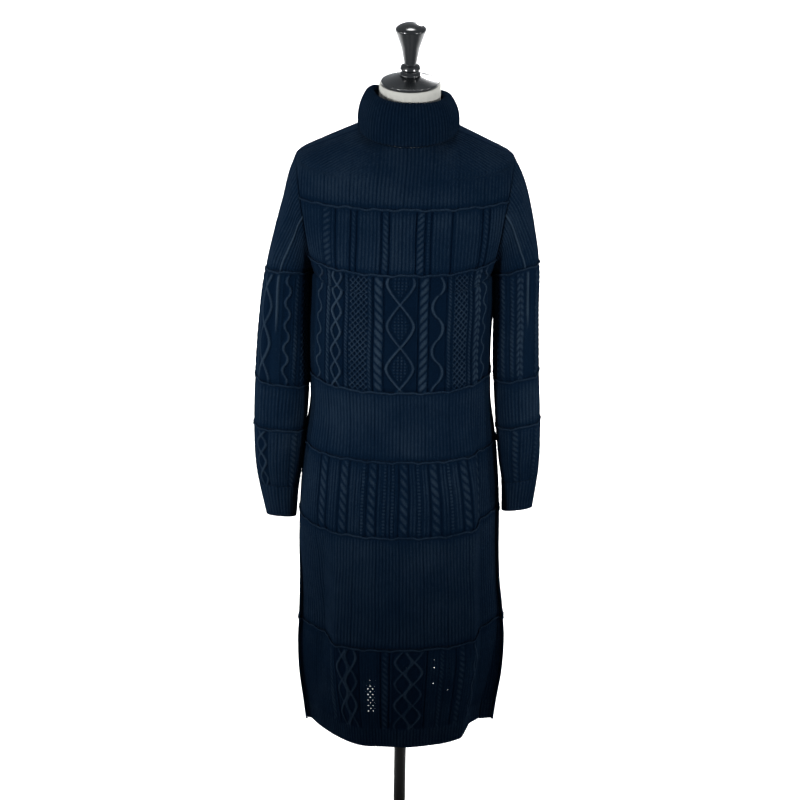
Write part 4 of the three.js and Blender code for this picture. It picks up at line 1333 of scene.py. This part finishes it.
@dataclass(frozen=True)
class Wool(Finish):
    """Navy wool yarn, matt, with a painted highlight where the knitting stands out and painted shade where
    it sinks.
    """

    # The colours at the lowest, middle and highest lift: painted shade in the furrows, the yarn's own navy,
    # and a painted highlight on the crests
    furrow: Triple = (0.0006, 0.0026, 0.0072)
    ground: Triple = (0.0015, 0.0049, 0.0115)
    crest: Triple = (0.0128, 0.0218, 0.0335)
    lowest: float = -1.8
    highest: float = 2.9
    ground_at: float = 0.55
    tone_drift: float = 0.7
    stitch: float = 1.9 * MM
    depth: float = 0.5 * MM
    shade: float = 0.45
    sheen_tint: Triple = (0.45, 0.6, 0.85)
    eyelets: tuple[Eyelets, ...] = ()

    def colour(self, graph: Graph, stitches: Socket) -> Socket:
        """The yarn's colour, with a painted highlight where it stands out, painted shade where it sinks, and
        painted shade between stitches.
        """
        tone = graph.add("ShaderNodeGroup", node_tree=tone_group(), Place=graph.object_place()).outputs[0]
        lift = graph.add("ShaderNodeAttribute", attribute_name=LIFT).outputs["Fac"]
        share = graph.math("DIVIDE", graph.math("SUBTRACT", lift, self.lowest), self.highest - self.lowest)
        drift = graph.math("MULTIPLY", graph.math("SUBTRACT", tone, 0.5), self.tone_drift)
        # The ramp paints shade into the furrows and a highlight onto the crests, by how far each point
        # stands out
        ramp = graph.add("ShaderNodeValToRGB", Fac=graph.math("ADD", share, drift))
        stops = ramp.color_ramp.elements
        stops[0].color, stops[1].color = (*self.furrow, 1), (*self.crest, 1)
        stops.new(self.ground_at).color = (*self.ground, 1)
        # Painted shade between the stitch loops, mixed towards the furrows' painted shade
        shade = graph.math("MULTIPLY", graph.math("SUBTRACT", 1.0, stitches), self.shade)
        inputs = {"i0": shade, "i6": ramp.outputs[0], "i7": (*self.furrow, 1)}
        return graph.add("ShaderNodeMix", data_type="RGBA", **inputs).outputs[2]

    def material(self) -> bpy.types.Material:
        """Makes the wool's material."""
        material, graph, shader = self.begin()
        cloth = graph.add("ShaderNodeUVMap", uv_map="cloth").outputs[0]
        group = graph.add("ShaderNodeGroup", node_tree=knit_group(), Place=cloth, Width=self.stitch)
        stitches = group.outputs[0]
        bump = graph.add("ShaderNodeBump", Strength=0.6, Distance=self.depth, Height=stitches)
        graph.put(shader, Base_Color=self.colour(graph, stitches), Normal=bump.outputs[0], Roughness=0.62)
        graph.put(shader, Sheen_Weight=0.015, Sheen_Roughness=0.4, Sheen_Tint=(*self.sheen_tint, 1))
        graph.put(shader, Specular_IOR_Level=0.0)
        if self.eyelets:
            opened, *others = (window.mask(graph, cloth) for window in self.eyelets)
            for mask in others:
                opened = graph.math("MAXIMUM", opened, mask)
            graph.put(shader, Alpha=graph.math("SUBTRACT", 1.0, opened))
        return material


@dataclass(frozen=True)
class Jersey(Finish):
    """The cream cotton cover of the dress form."""

    colour: Triple = (0.3, 0.299, 0.275)
    grain: float = 900.0
    depth: float = 0.3 * MM

    def material(self) -> bpy.types.Material:
        """Makes the cover's material."""
        material, graph, shader = self.begin()
        noise = graph.noise(graph.object_place(), self.grain, 2.0)
        bump = graph.add("ShaderNodeBump", Strength=0.25, Distance=self.depth, Height=noise)
        graph.put(shader, Base_Color=(*self.colour, 1), Normal=bump.outputs[0])
        graph.put(shader, Roughness=0.9, Sheen_Weight=0.1)
        return material


@dataclass(frozen=True)
class Coating(Finish):
    """A hard coat: black lacquer, or black paint on steel."""

    colour: Triple = (0.006, 0.007, 0.008)
    roughness: float = 0.16
    coat: float = 0.4
    specular: float = 0.5
    clouds: float = 60.0
    unevenness: float = 0.08

    def material(self) -> bpy.types.Material:
        """Makes the coat's material."""
        material, graph, shader = self.begin()
        noise = graph.noise(graph.object_place(), self.clouds, 4.0)
        rough = graph.math("ADD", self.roughness, graph.math("MULTIPLY", noise, self.unevenness))
        graph.put(shader, Base_Color=(*self.colour, 1), Roughness=rough, Specular_IOR_Level=self.specular)
        graph.put(shader, Coat_Weight=self.coat, Coat_Roughness=0.08)
        return material


@dataclass(frozen=True)
class Turned:
    """A piece turned on the upright axis.

    profile has its radius and its height above its own foot, from the bottom up.
    """

    name: str
    profile: tuple[tuple[float, float], ...]
    foot: float
    slot: str
    bevel: float = 0.7
    sides: int = 96
    bevel_angle: float = 35
    smooth_angle: float = 40

    def build(self) -> Object:
        """Extrudes the piece ring by ring."""
        radius, rise = self.profile[0]
        start = (0, 0, (self.foot + rise) * MM)
        bpy.ops.object.select_all(action="DESELECT")
        bpy.ops.mesh.primitive_circle_add(
            vertices=self.sides, radius=radius * MM, fill_type="NGON", location=start
        )
        piece = bpy.context.active_object
        piece.name = self.name
        bpy.ops.object.mode_set(mode="EDIT")
        bpy.ops.mesh.select_all(action="SELECT")
        for next_radius, next_rise in self.profile[1:]:
            move = (0, 0, (next_rise - rise) * MM)
            bpy.ops.mesh.extrude_region_move(TRANSFORM_OT_translate={"value": move})
            share = next_radius / radius
            centre = (0, 0, (self.foot + next_rise) * MM)
            bpy.ops.transform.resize(value=(share, share, 1), center_override=centre)
            radius, rise = next_radius, next_rise
        bpy.ops.mesh.select_all(action="SELECT")
        bpy.ops.mesh.normals_make_consistent(inside=False)
        bpy.ops.object.mode_set(mode="OBJECT")
        bpy.ops.object.transform_apply(location=True, rotation=True, scale=True)
        bevel = piece.modifiers.new("edges", "BEVEL")
        bevel.width, bevel.segments, bevel.limit_method = self.bevel * MM, 3, "ANGLE"
        bevel.angle_limit = math.radians(self.bevel_angle)
        bpy.ops.object.modifier_apply(modifier=bevel.name)
        bpy.ops.object.shade_smooth_by_angle(angle=math.radians(self.smooth_angle))
        return piece


@dataclass(frozen=True)
class DressForm:
    """The limbless body under the dress, with its neck."""

    name: str = "form_body"
    crease_angle: float = 50
    weld: float = 0.02

    def build(self, node: Object) -> Object:
        """Rounds a copy of the maker's mesh.

        Args:
            node: the maker's object.

        Returns:
            The smooth piece.
        """
        piece = linked(self.name, node.data.copy())
        bpy.ops.object.select_all(action="DESELECT")
        bpy.context.view_layer.objects.active = piece
        piece.select_set(True)
        bpy.ops.object.mode_set(mode="EDIT")
        bpy.ops.mesh.select_all(action="SELECT")
        bpy.ops.mesh.remove_doubles(threshold=self.weld * MM)
        bpy.ops.mesh.select_all(action="DESELECT")
        bpy.ops.mesh.edges_select_sharp(sharpness=math.radians(self.crease_angle))
        bpy.ops.transform.edge_crease(value=1)
        bpy.ops.object.mode_set(mode="OBJECT")
        rounding = piece.modifiers.new("rounding", "SUBSURF")
        rounding.levels = rounding.render_levels = 2
        bpy.ops.object.modifier_apply(modifier=rounding.name)
        bpy.ops.object.shade_smooth_by_angle(angle=math.radians(self.crease_angle))
        return piece


CHEST = (
    Rope(-133, 8, 1.8, pitch=11, lean=-1), Gutter(-117), Rope(-84.5, 3.6, 1.6, pitch=9), Gutter(-90),
    Gutter(-79), Rope(-29, 5, 1.8, pitch=10), Gutter(-36), Gutter(-22.5),
    Rope(31, 6.2, 2, pitch=11, lean=-1), Gutter(23.5), Gutter(38.5), Ladder(44, 2.6, 1.5, pitch=5.6),
    Gutter(49), Gutter(84), Gutter(137), Rope(144, 4.5, 1.6, pitch=9), Gutter(151),
)
ARAN = (
    MossLozenges(0, 26, 2.1, period=82, phase=1107),
    Rope(-37.6, 7.6), Gutter(-28), Gutter(-47), Rope(40, 7.6, lean=-1), Gutter(30.5), Gutter(49.5),
    Rope(-52.7, 3.2, 2.2, pitch=8), Honeycomb(-73, 17, 2.4), Rope(-95, 3.4, 2.1, pitch=7), Gutter(-100.5),
    Lozenges(-115, 12, 2.4, period=38, phase=1107), Rope(-133, 4.5, 2.4, pitch=9), Gutter(-139.5),
    Wave(-158, 9, 2.4, period=42, phase=1107),
    Wave(64, 12.5, 2.4, period=85, phase=1120), Rope(85, 3.4, 2.1, pitch=7), Gutter(79.5),
    Honeycomb(106, 14, 2.4), Rope(126, 3.4, 2.1, pitch=7), Gutter(131), Braid(143, 9, 2.8, pitch=13),
    Gutter(154), Wave(166, 8, 2.2, period=38, phase=1107),
)
HIP_ROPES = (-147, -104, -51, 7, 63, 122, 160)
HIP = (
    *(Rope(at, 7.4, 1.9) for at in HIP_ROPES),
    *(Gutter(at + side * 9.4, furrow=-0.8) for at in HIP_ROPES for side in (-1, 1)),
    *(Ladder(at, 3.2, 1.9) for at in (-67.6, -28, -13, 34, 92)),
)
BORDER = (
    Rope(-134, 7, 1.7, pitch=12), Lozenges(-103, 13, 1.7, period=52, phase=498), Gutter(-119), Gutter(-71),
    Lozenges(-87, 13, 1.7, period=52, phase=472), Rope(-24, 6, 1.8, pitch=12), Gutter(-32), Gutter(-16),
    Lozenges(8, 17, 1.5, period=47, phase=420), Lozenges(27, 17, 1.5, period=47, phase=443), Gutter(49),
    Rope(75, 4, 1.6, pitch=9), Gutter(100), Rope(112, 6, 1.7, pitch=12),
    Lozenges(150, 14, 1.6, period=44, phase=440),
)
FRONT_EYELETS = (
    Eyelets((-51, 413), (8.4, 38), (9, 12.4), 1.0), Eyelets((17.7, 474), (9, 13), (9, 9.4), 0.8),
    Eyelets((62, 458), (4, 34), (16, 17), 1.2), Eyelets((89, 452), (2.6, 36), (20, 9.4), 1.1),
    Eyelets((103, 466), (3, 3), (20, 20), 1.0), Eyelets((-148, 500), (4, 10), (8, 8), 1.0),
)
BACK_EYELETS = (
    Eyelets((53, 318), (14, 10)), Eyelets((-19, 342), (9, 14), (8, 8.4), 1.4),
    Eyelets((-65, 336), (7.5, 34), (7, 7.4), 1.75), Eyelets((-93, 332), (7.5, 34), (7, 7.4), 1.75),
    Eyelets((152, 372), (10, 16), (8, 8.4), 1.4),
)
SLEEVE_MOTIFS = {
    ("cap", Hand.LEFT): (Crease(-11, 2.6, 3, furrow=0.5),),
    ("cap", Hand.RIGHT): (Crease(17, 2.6, 3, furrow=0.5),),
    ("cable_band", Hand.LEFT): (
        Lozenges(-32, 14, 2, period=69, phase=40), Wave(8, 7, 2, period=40), Rope(-54, 5, 2, pitch=9),
        Rope(24, 4, 1.8, pitch=8), Honeycomb(48, 12, 1.8), Rope(90, 8, 2.4), Rope(-80, 8, 2.3),
        Lozenges(130, 16, 2.2, period=69), Rope(170, 6, 2.2), Crease(-11, 2.6, 3, furrow=0.5, fade_from=70),
    ),
    ("cable_band", Hand.RIGHT): (
        Braid(4, 6.5, 2.4, pitch=12), Honeycomb(42, 12, 1.9), Rope(-10, 4, 1.8, pitch=8),
        Rope(-28, 5, 2, pitch=9), Honeycomb(-52, 12, 1.8), Rope(-90, 8, 2.4),
        Lozenges(-130, 16, 2.2, period=69), Rope(70, 5, 2, pitch=9), Rope(90, 8, 2.3),
        Crease(17, 2.6, 3, furrow=0.5, fade_from=70),
    ),
    ("mixed_band", Hand.LEFT): (
        Lozenges(-28, 11, 1.9, period=36), Rope(29, 6.5, 2, pitch=11), Rope(-60, 6, 2, pitch=11),
        Rope(75, 6, 2, pitch=11), Lozenges(115, 12, 1.9, period=36),
    ),
    ("mixed_band", Hand.RIGHT): (
        Rope(-8, 6, 2, pitch=11), Rope(28, 5, 1.8, pitch=9), Lozenges(60, 11, 1.9, period=36),
        Rope(-55, 6, 2, pitch=11), Lozenges(-110, 12, 1.9, period=36),
    ),
}

# Each band of the body, how far apart its columns of points are, where 0 follows the ribs, and
# whether its cables keep their width where the body narrows
BODY_BANDS = (
    (Band("yoke", SEAM_YOKE, NECK, 3.6, Ribs(6.6), pitch=6.6, rolled=False), 1.2, True),
    (Band("chest_band", SEAM_ARAN, SEAM_YOKE, 2.2, Ribs(6.3), CHEST, pitch=6.3), 1.1, True),
    (Band("cable_band", SEAM_WAIST, SEAM_ARAN, 1.6, Ribs(5.2, 0.7), ARAN, pitch=6), 1.2, True),
    (Band("waist_band", SEAM_HIP, SEAM_WAIST, 6, Ribs()), 0, False),
    (Band("hip_band", SEAM_SKIRT, SEAM_HIP, 2, Ribs(5.8), HIP, pitch=5.8), 1.3, False),
    (Band("skirt_band", SEAM_BORDER, SEAM_SKIRT, 6, Ribs()), 0, False),
    (
        Band(
            "border_band", HEM, SEAM_BORDER, 2, Ribs(5.4, 0.9), BORDER, pitch=6, open_end=True, plain_foot=43
        ),
        1.4,
        False,
    ),
)
# Each band of a sleeve, by shares of its reach, and how far apart its columns of points are
SLEEVE_BANDS = (
    (Band("cap", 0, 30, 4.5, Ribs(6.3), pitch=6.3, rolled=False), 0),
    (Band("cable_band", 30, 62, 2.1, Ribs(5.2, 0.7), pitch=6), 1.5),
    (Band("rib_band", 62, 75, 5.5, Ribs()), 0),
    (Band("mixed_band", 75, 92, 2.3, Ribs(5.8), pitch=5.8, seam_pull=0.4), 1.5),
    (Band("cuff", 92, 100, 4, Ribs(5.7), pitch=5.7, rolled=False, open_end=True), 0),
)

CAP = ((49.3, 0), (49.3, 5), (29.6, 10.5), (18, 15))
FINIAL = (
    (18.2, 0), (18.2, 3), (14, 7), (17.6, 12), (15.8, 17), (10.3, 20), (16.4, 50), (26, 78.4), (26.4, 80.6),
    (25.4, 83), (21, 86.6), (14, 89.8), (6, 91.4),
)
FLANGE = ((46, 0), (46, 6))
BASE = ((170, 0), (170, 9), (167, 12), (30, 14), (24, 22), (20, 46))
FORM_TOP = 1542
FORM_FOOT = 800
PART_GAP = 0.3
POLE_RADIUS = 11


def settle(piece: Object, material: bpy.types.Material, node: str) -> None:
    """Gives a piece its finish and its place in the model."""
    piece.data.materials.clear()
    piece.data.materials.append(material)
    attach(piece, ROOT)
    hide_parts(node)
    LOG.info("%s: %d faces", piece.name, len(piece.data.polygons))


class Dress:
    """Every knitted piece."""

    def __init__(self) -> None:
        """Makes the yarn's materials, with and without small holes."""
        self.wool = Wool("navy wool").material()
        self.open_work = {
            "knit_border_band_front": Wool("navy wool, open front", eyelets=FRONT_EYELETS).material(),
            "knit_border_band_back": Wool("navy wool, open back", eyelets=BACK_EYELETS).material(),
        }

    def hang(self, piece: Object, width: float, length: float) -> None:
        """Gives a piece its yarn and its place in the model.

        Args:
            piece: the mesh object.
            width: its width before it was hung, in millimetres; not used.
            length: its length before it was hung, in millimetres; not used.
        """
        settle(piece, self.open_work.get(piece.name, self.wool), piece.name.removeprefix(KNIT))

    def build(self) -> None:
        """Builds the body from the neck down, then the sleeves and the neck."""
        for band, column_step, upright in BODY_BANDS:
            for face in Face:
                piece, cloth = BodyPanel(band, face, column_step, upright).build()
                self.hang(piece, cloth.width, cloth.length)
        for band, column_step in SLEEVE_BANDS:
            for hand in Hand:
                worked = replace(band, motifs=SLEEVE_MOTIFS.get((band.name, hand), ()))
                piece, cloth = SleeveTube(worked, hand, column_step).build()
                self.hang(piece, cloth.width, cloth.length)
        neck = NeckFold()
        self.hang(neck.build(), *neck.flat)


class Stand:
    """The dress form, its cap and finial, and what it stands on."""

    def __init__(self, nodes: dict[str, Object]) -> None:
        """Keeps the maker's objects."""
        self.nodes = nodes
        self.finishes = {
            "linen": Jersey("cream jersey").material(),
            "lacquer": Coating("black lacquer").material(),
            "steel": Coating("black steel", (0.008, 0.0075, 0.007), 0.5, 0, 0.12).material(),
        }

    def build(self) -> None:
        """Builds the form from its cover to the base."""
        form = DressForm().build(self.nodes["form_torso"])
        settle(form, self.finishes["linen"], "form_torso")
        cap_foot = FORM_TOP + PART_GAP
        flange_foot = FORM_FOOT - PART_GAP - FLANGE[-1][1]
        pole_foot = BASE[-1][1] + PART_GAP
        pole = ((POLE_RADIUS, 0), (POLE_RADIUS, flange_foot - PART_GAP - pole_foot))
        for piece, node in (
            (Turned("neck_cap", CAP, cap_foot, "lacquer"), "form_cap"),
            (Turned("finial", FINIAL, cap_foot + CAP[-1][1] + PART_GAP, "lacquer", 0.5), "form_finial"),
            (Turned("flange", FLANGE, flange_foot, "steel"), "form_flange"),
            (Turned("pole", pole, pole_foot, "steel", 0.3, 48), "stand_pole"),
            (Turned("base", BASE, 0, "steel"), "stand_base"),
        ):
            settle(piece.build(), self.finishes[piece.slot], node)


@dataclass(frozen=True)
class Lamp:
    """A spotlight, or a square lamp, with the point that it looks at and its spread in degrees."""

    name: str
    place: Triple
    aim: Triple
    size: float
    power: float
    spread: float
    kind: str = "SPOT"

    def build(self) -> Object:
        """Hangs the lamp."""
        light = bpy.data.lights.new(self.name, self.kind)
        light.energy = self.power
        if self.kind == "AREA":
            light.size, light.spread = self.size, math.radians(self.spread)
        else:
            light.shadow_soft_size, light.spot_size = self.size, math.radians(self.spread)
            light.spot_blend = 1
        holder = linked(self.name, light)
        holder.location = self.place
        way = Vector(self.aim) - Vector(self.place)
        holder.rotation_euler = way.to_track_quat("-Z", "Y").to_euler()
        return holder


LAMPS = (
    Lamp("floor wash", (0, 3.2, 3.1), (0, 3.2, 0), 6.2, 330, 40, "AREA"),
    Lamp("left key", (-2.7, -2.7, 2.1), (-0.08, 0, 1.13), 0.3, 1080, 20.5),
    Lamp("right key", (2.7, -2.6, 2.0), (0.09, 0, 1.15), 0.3, 780, 20.5),
    Lamp("left side", (-3.8, -1.1, 1.5), (-0.1, 0, 0.95), 0.3, 560, 24),
    Lamp("right side", (3.8, -1.1, 1.5), (0.1, 0, 0.95), 0.3, 430, 24),
    Lamp("back", (0.8, 4.2, 2.5), (0, 0, 0.95), 0.3, 1300, 26),
)


class Studio:
    """The white floor, the sky, the lamps and the camera."""

    floor_size = 60.0
    floor_colour = (0.95, 0.95, 0.95, 1)
    sky_colour = (0.88, 0.94, 1, 1)
    sky_strength = 0.34
    target = Vector((0, 0, 0.952))
    distance = 5.5
    pitch = math.radians(25)
    roll = 0.0151
    lens = 139.77
    shift = -0.006625

    def floor(self) -> Object:
        """Lays the floor."""
        bpy.ops.mesh.primitive_plane_add(size=self.floor_size)
        floor = bpy.context.active_object
        floor.name = "floor"
        paint, graph, shader = Finish("white floor").begin()
        graph.put(shader, Base_Color=self.floor_colour, Roughness=1, Specular_IOR_Level=0)
        floor.data.materials.append(paint)
        return floor

    def sky(self) -> bpy.types.World:
        """Makes the even light from all round."""
        world = bpy.data.worlds.new("studio")
        world.use_nodes = True
        background = world.node_tree.nodes["Background"]
        Graph(world.node_tree).put(background, Color=self.sky_colour, Strength=self.sky_strength)
        return world

    def camera(self) -> Object:
        """Sets the camera where the photographer's was."""
        camera = bpy.data.cameras.new("camera")
        camera.lens, camera.shift_x = self.lens, self.shift
        holder = linked("camera", camera)
        back = Vector((0, -math.cos(self.pitch), math.sin(self.pitch))) * self.distance
        turn = Matrix.Rotation(math.pi / 2 - self.pitch, 4, "X") @ Matrix.Rotation(self.roll, 4, "Z")
        holder.matrix_world = Matrix.Translation(self.target + back) @ turn
        return holder

    def build(self) -> None:
        """Sets up everything that isn't the object."""
        scene = bpy.context.scene
        scene.view_settings.view_transform = "Standard"
        scene.world = self.sky()
        self.floor()
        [lamp.build() for lamp in LAMPS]
        scene.camera = self.camera()


def main() -> None:
    """Builds the scene in order."""
    logging.basicConfig(level=logging.INFO, format="%(message)s")
    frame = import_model()
    Dress().build()
    Stand(frame["nodes"]).build()
    Studio().build()


if __name__ == "__main__":
    main()
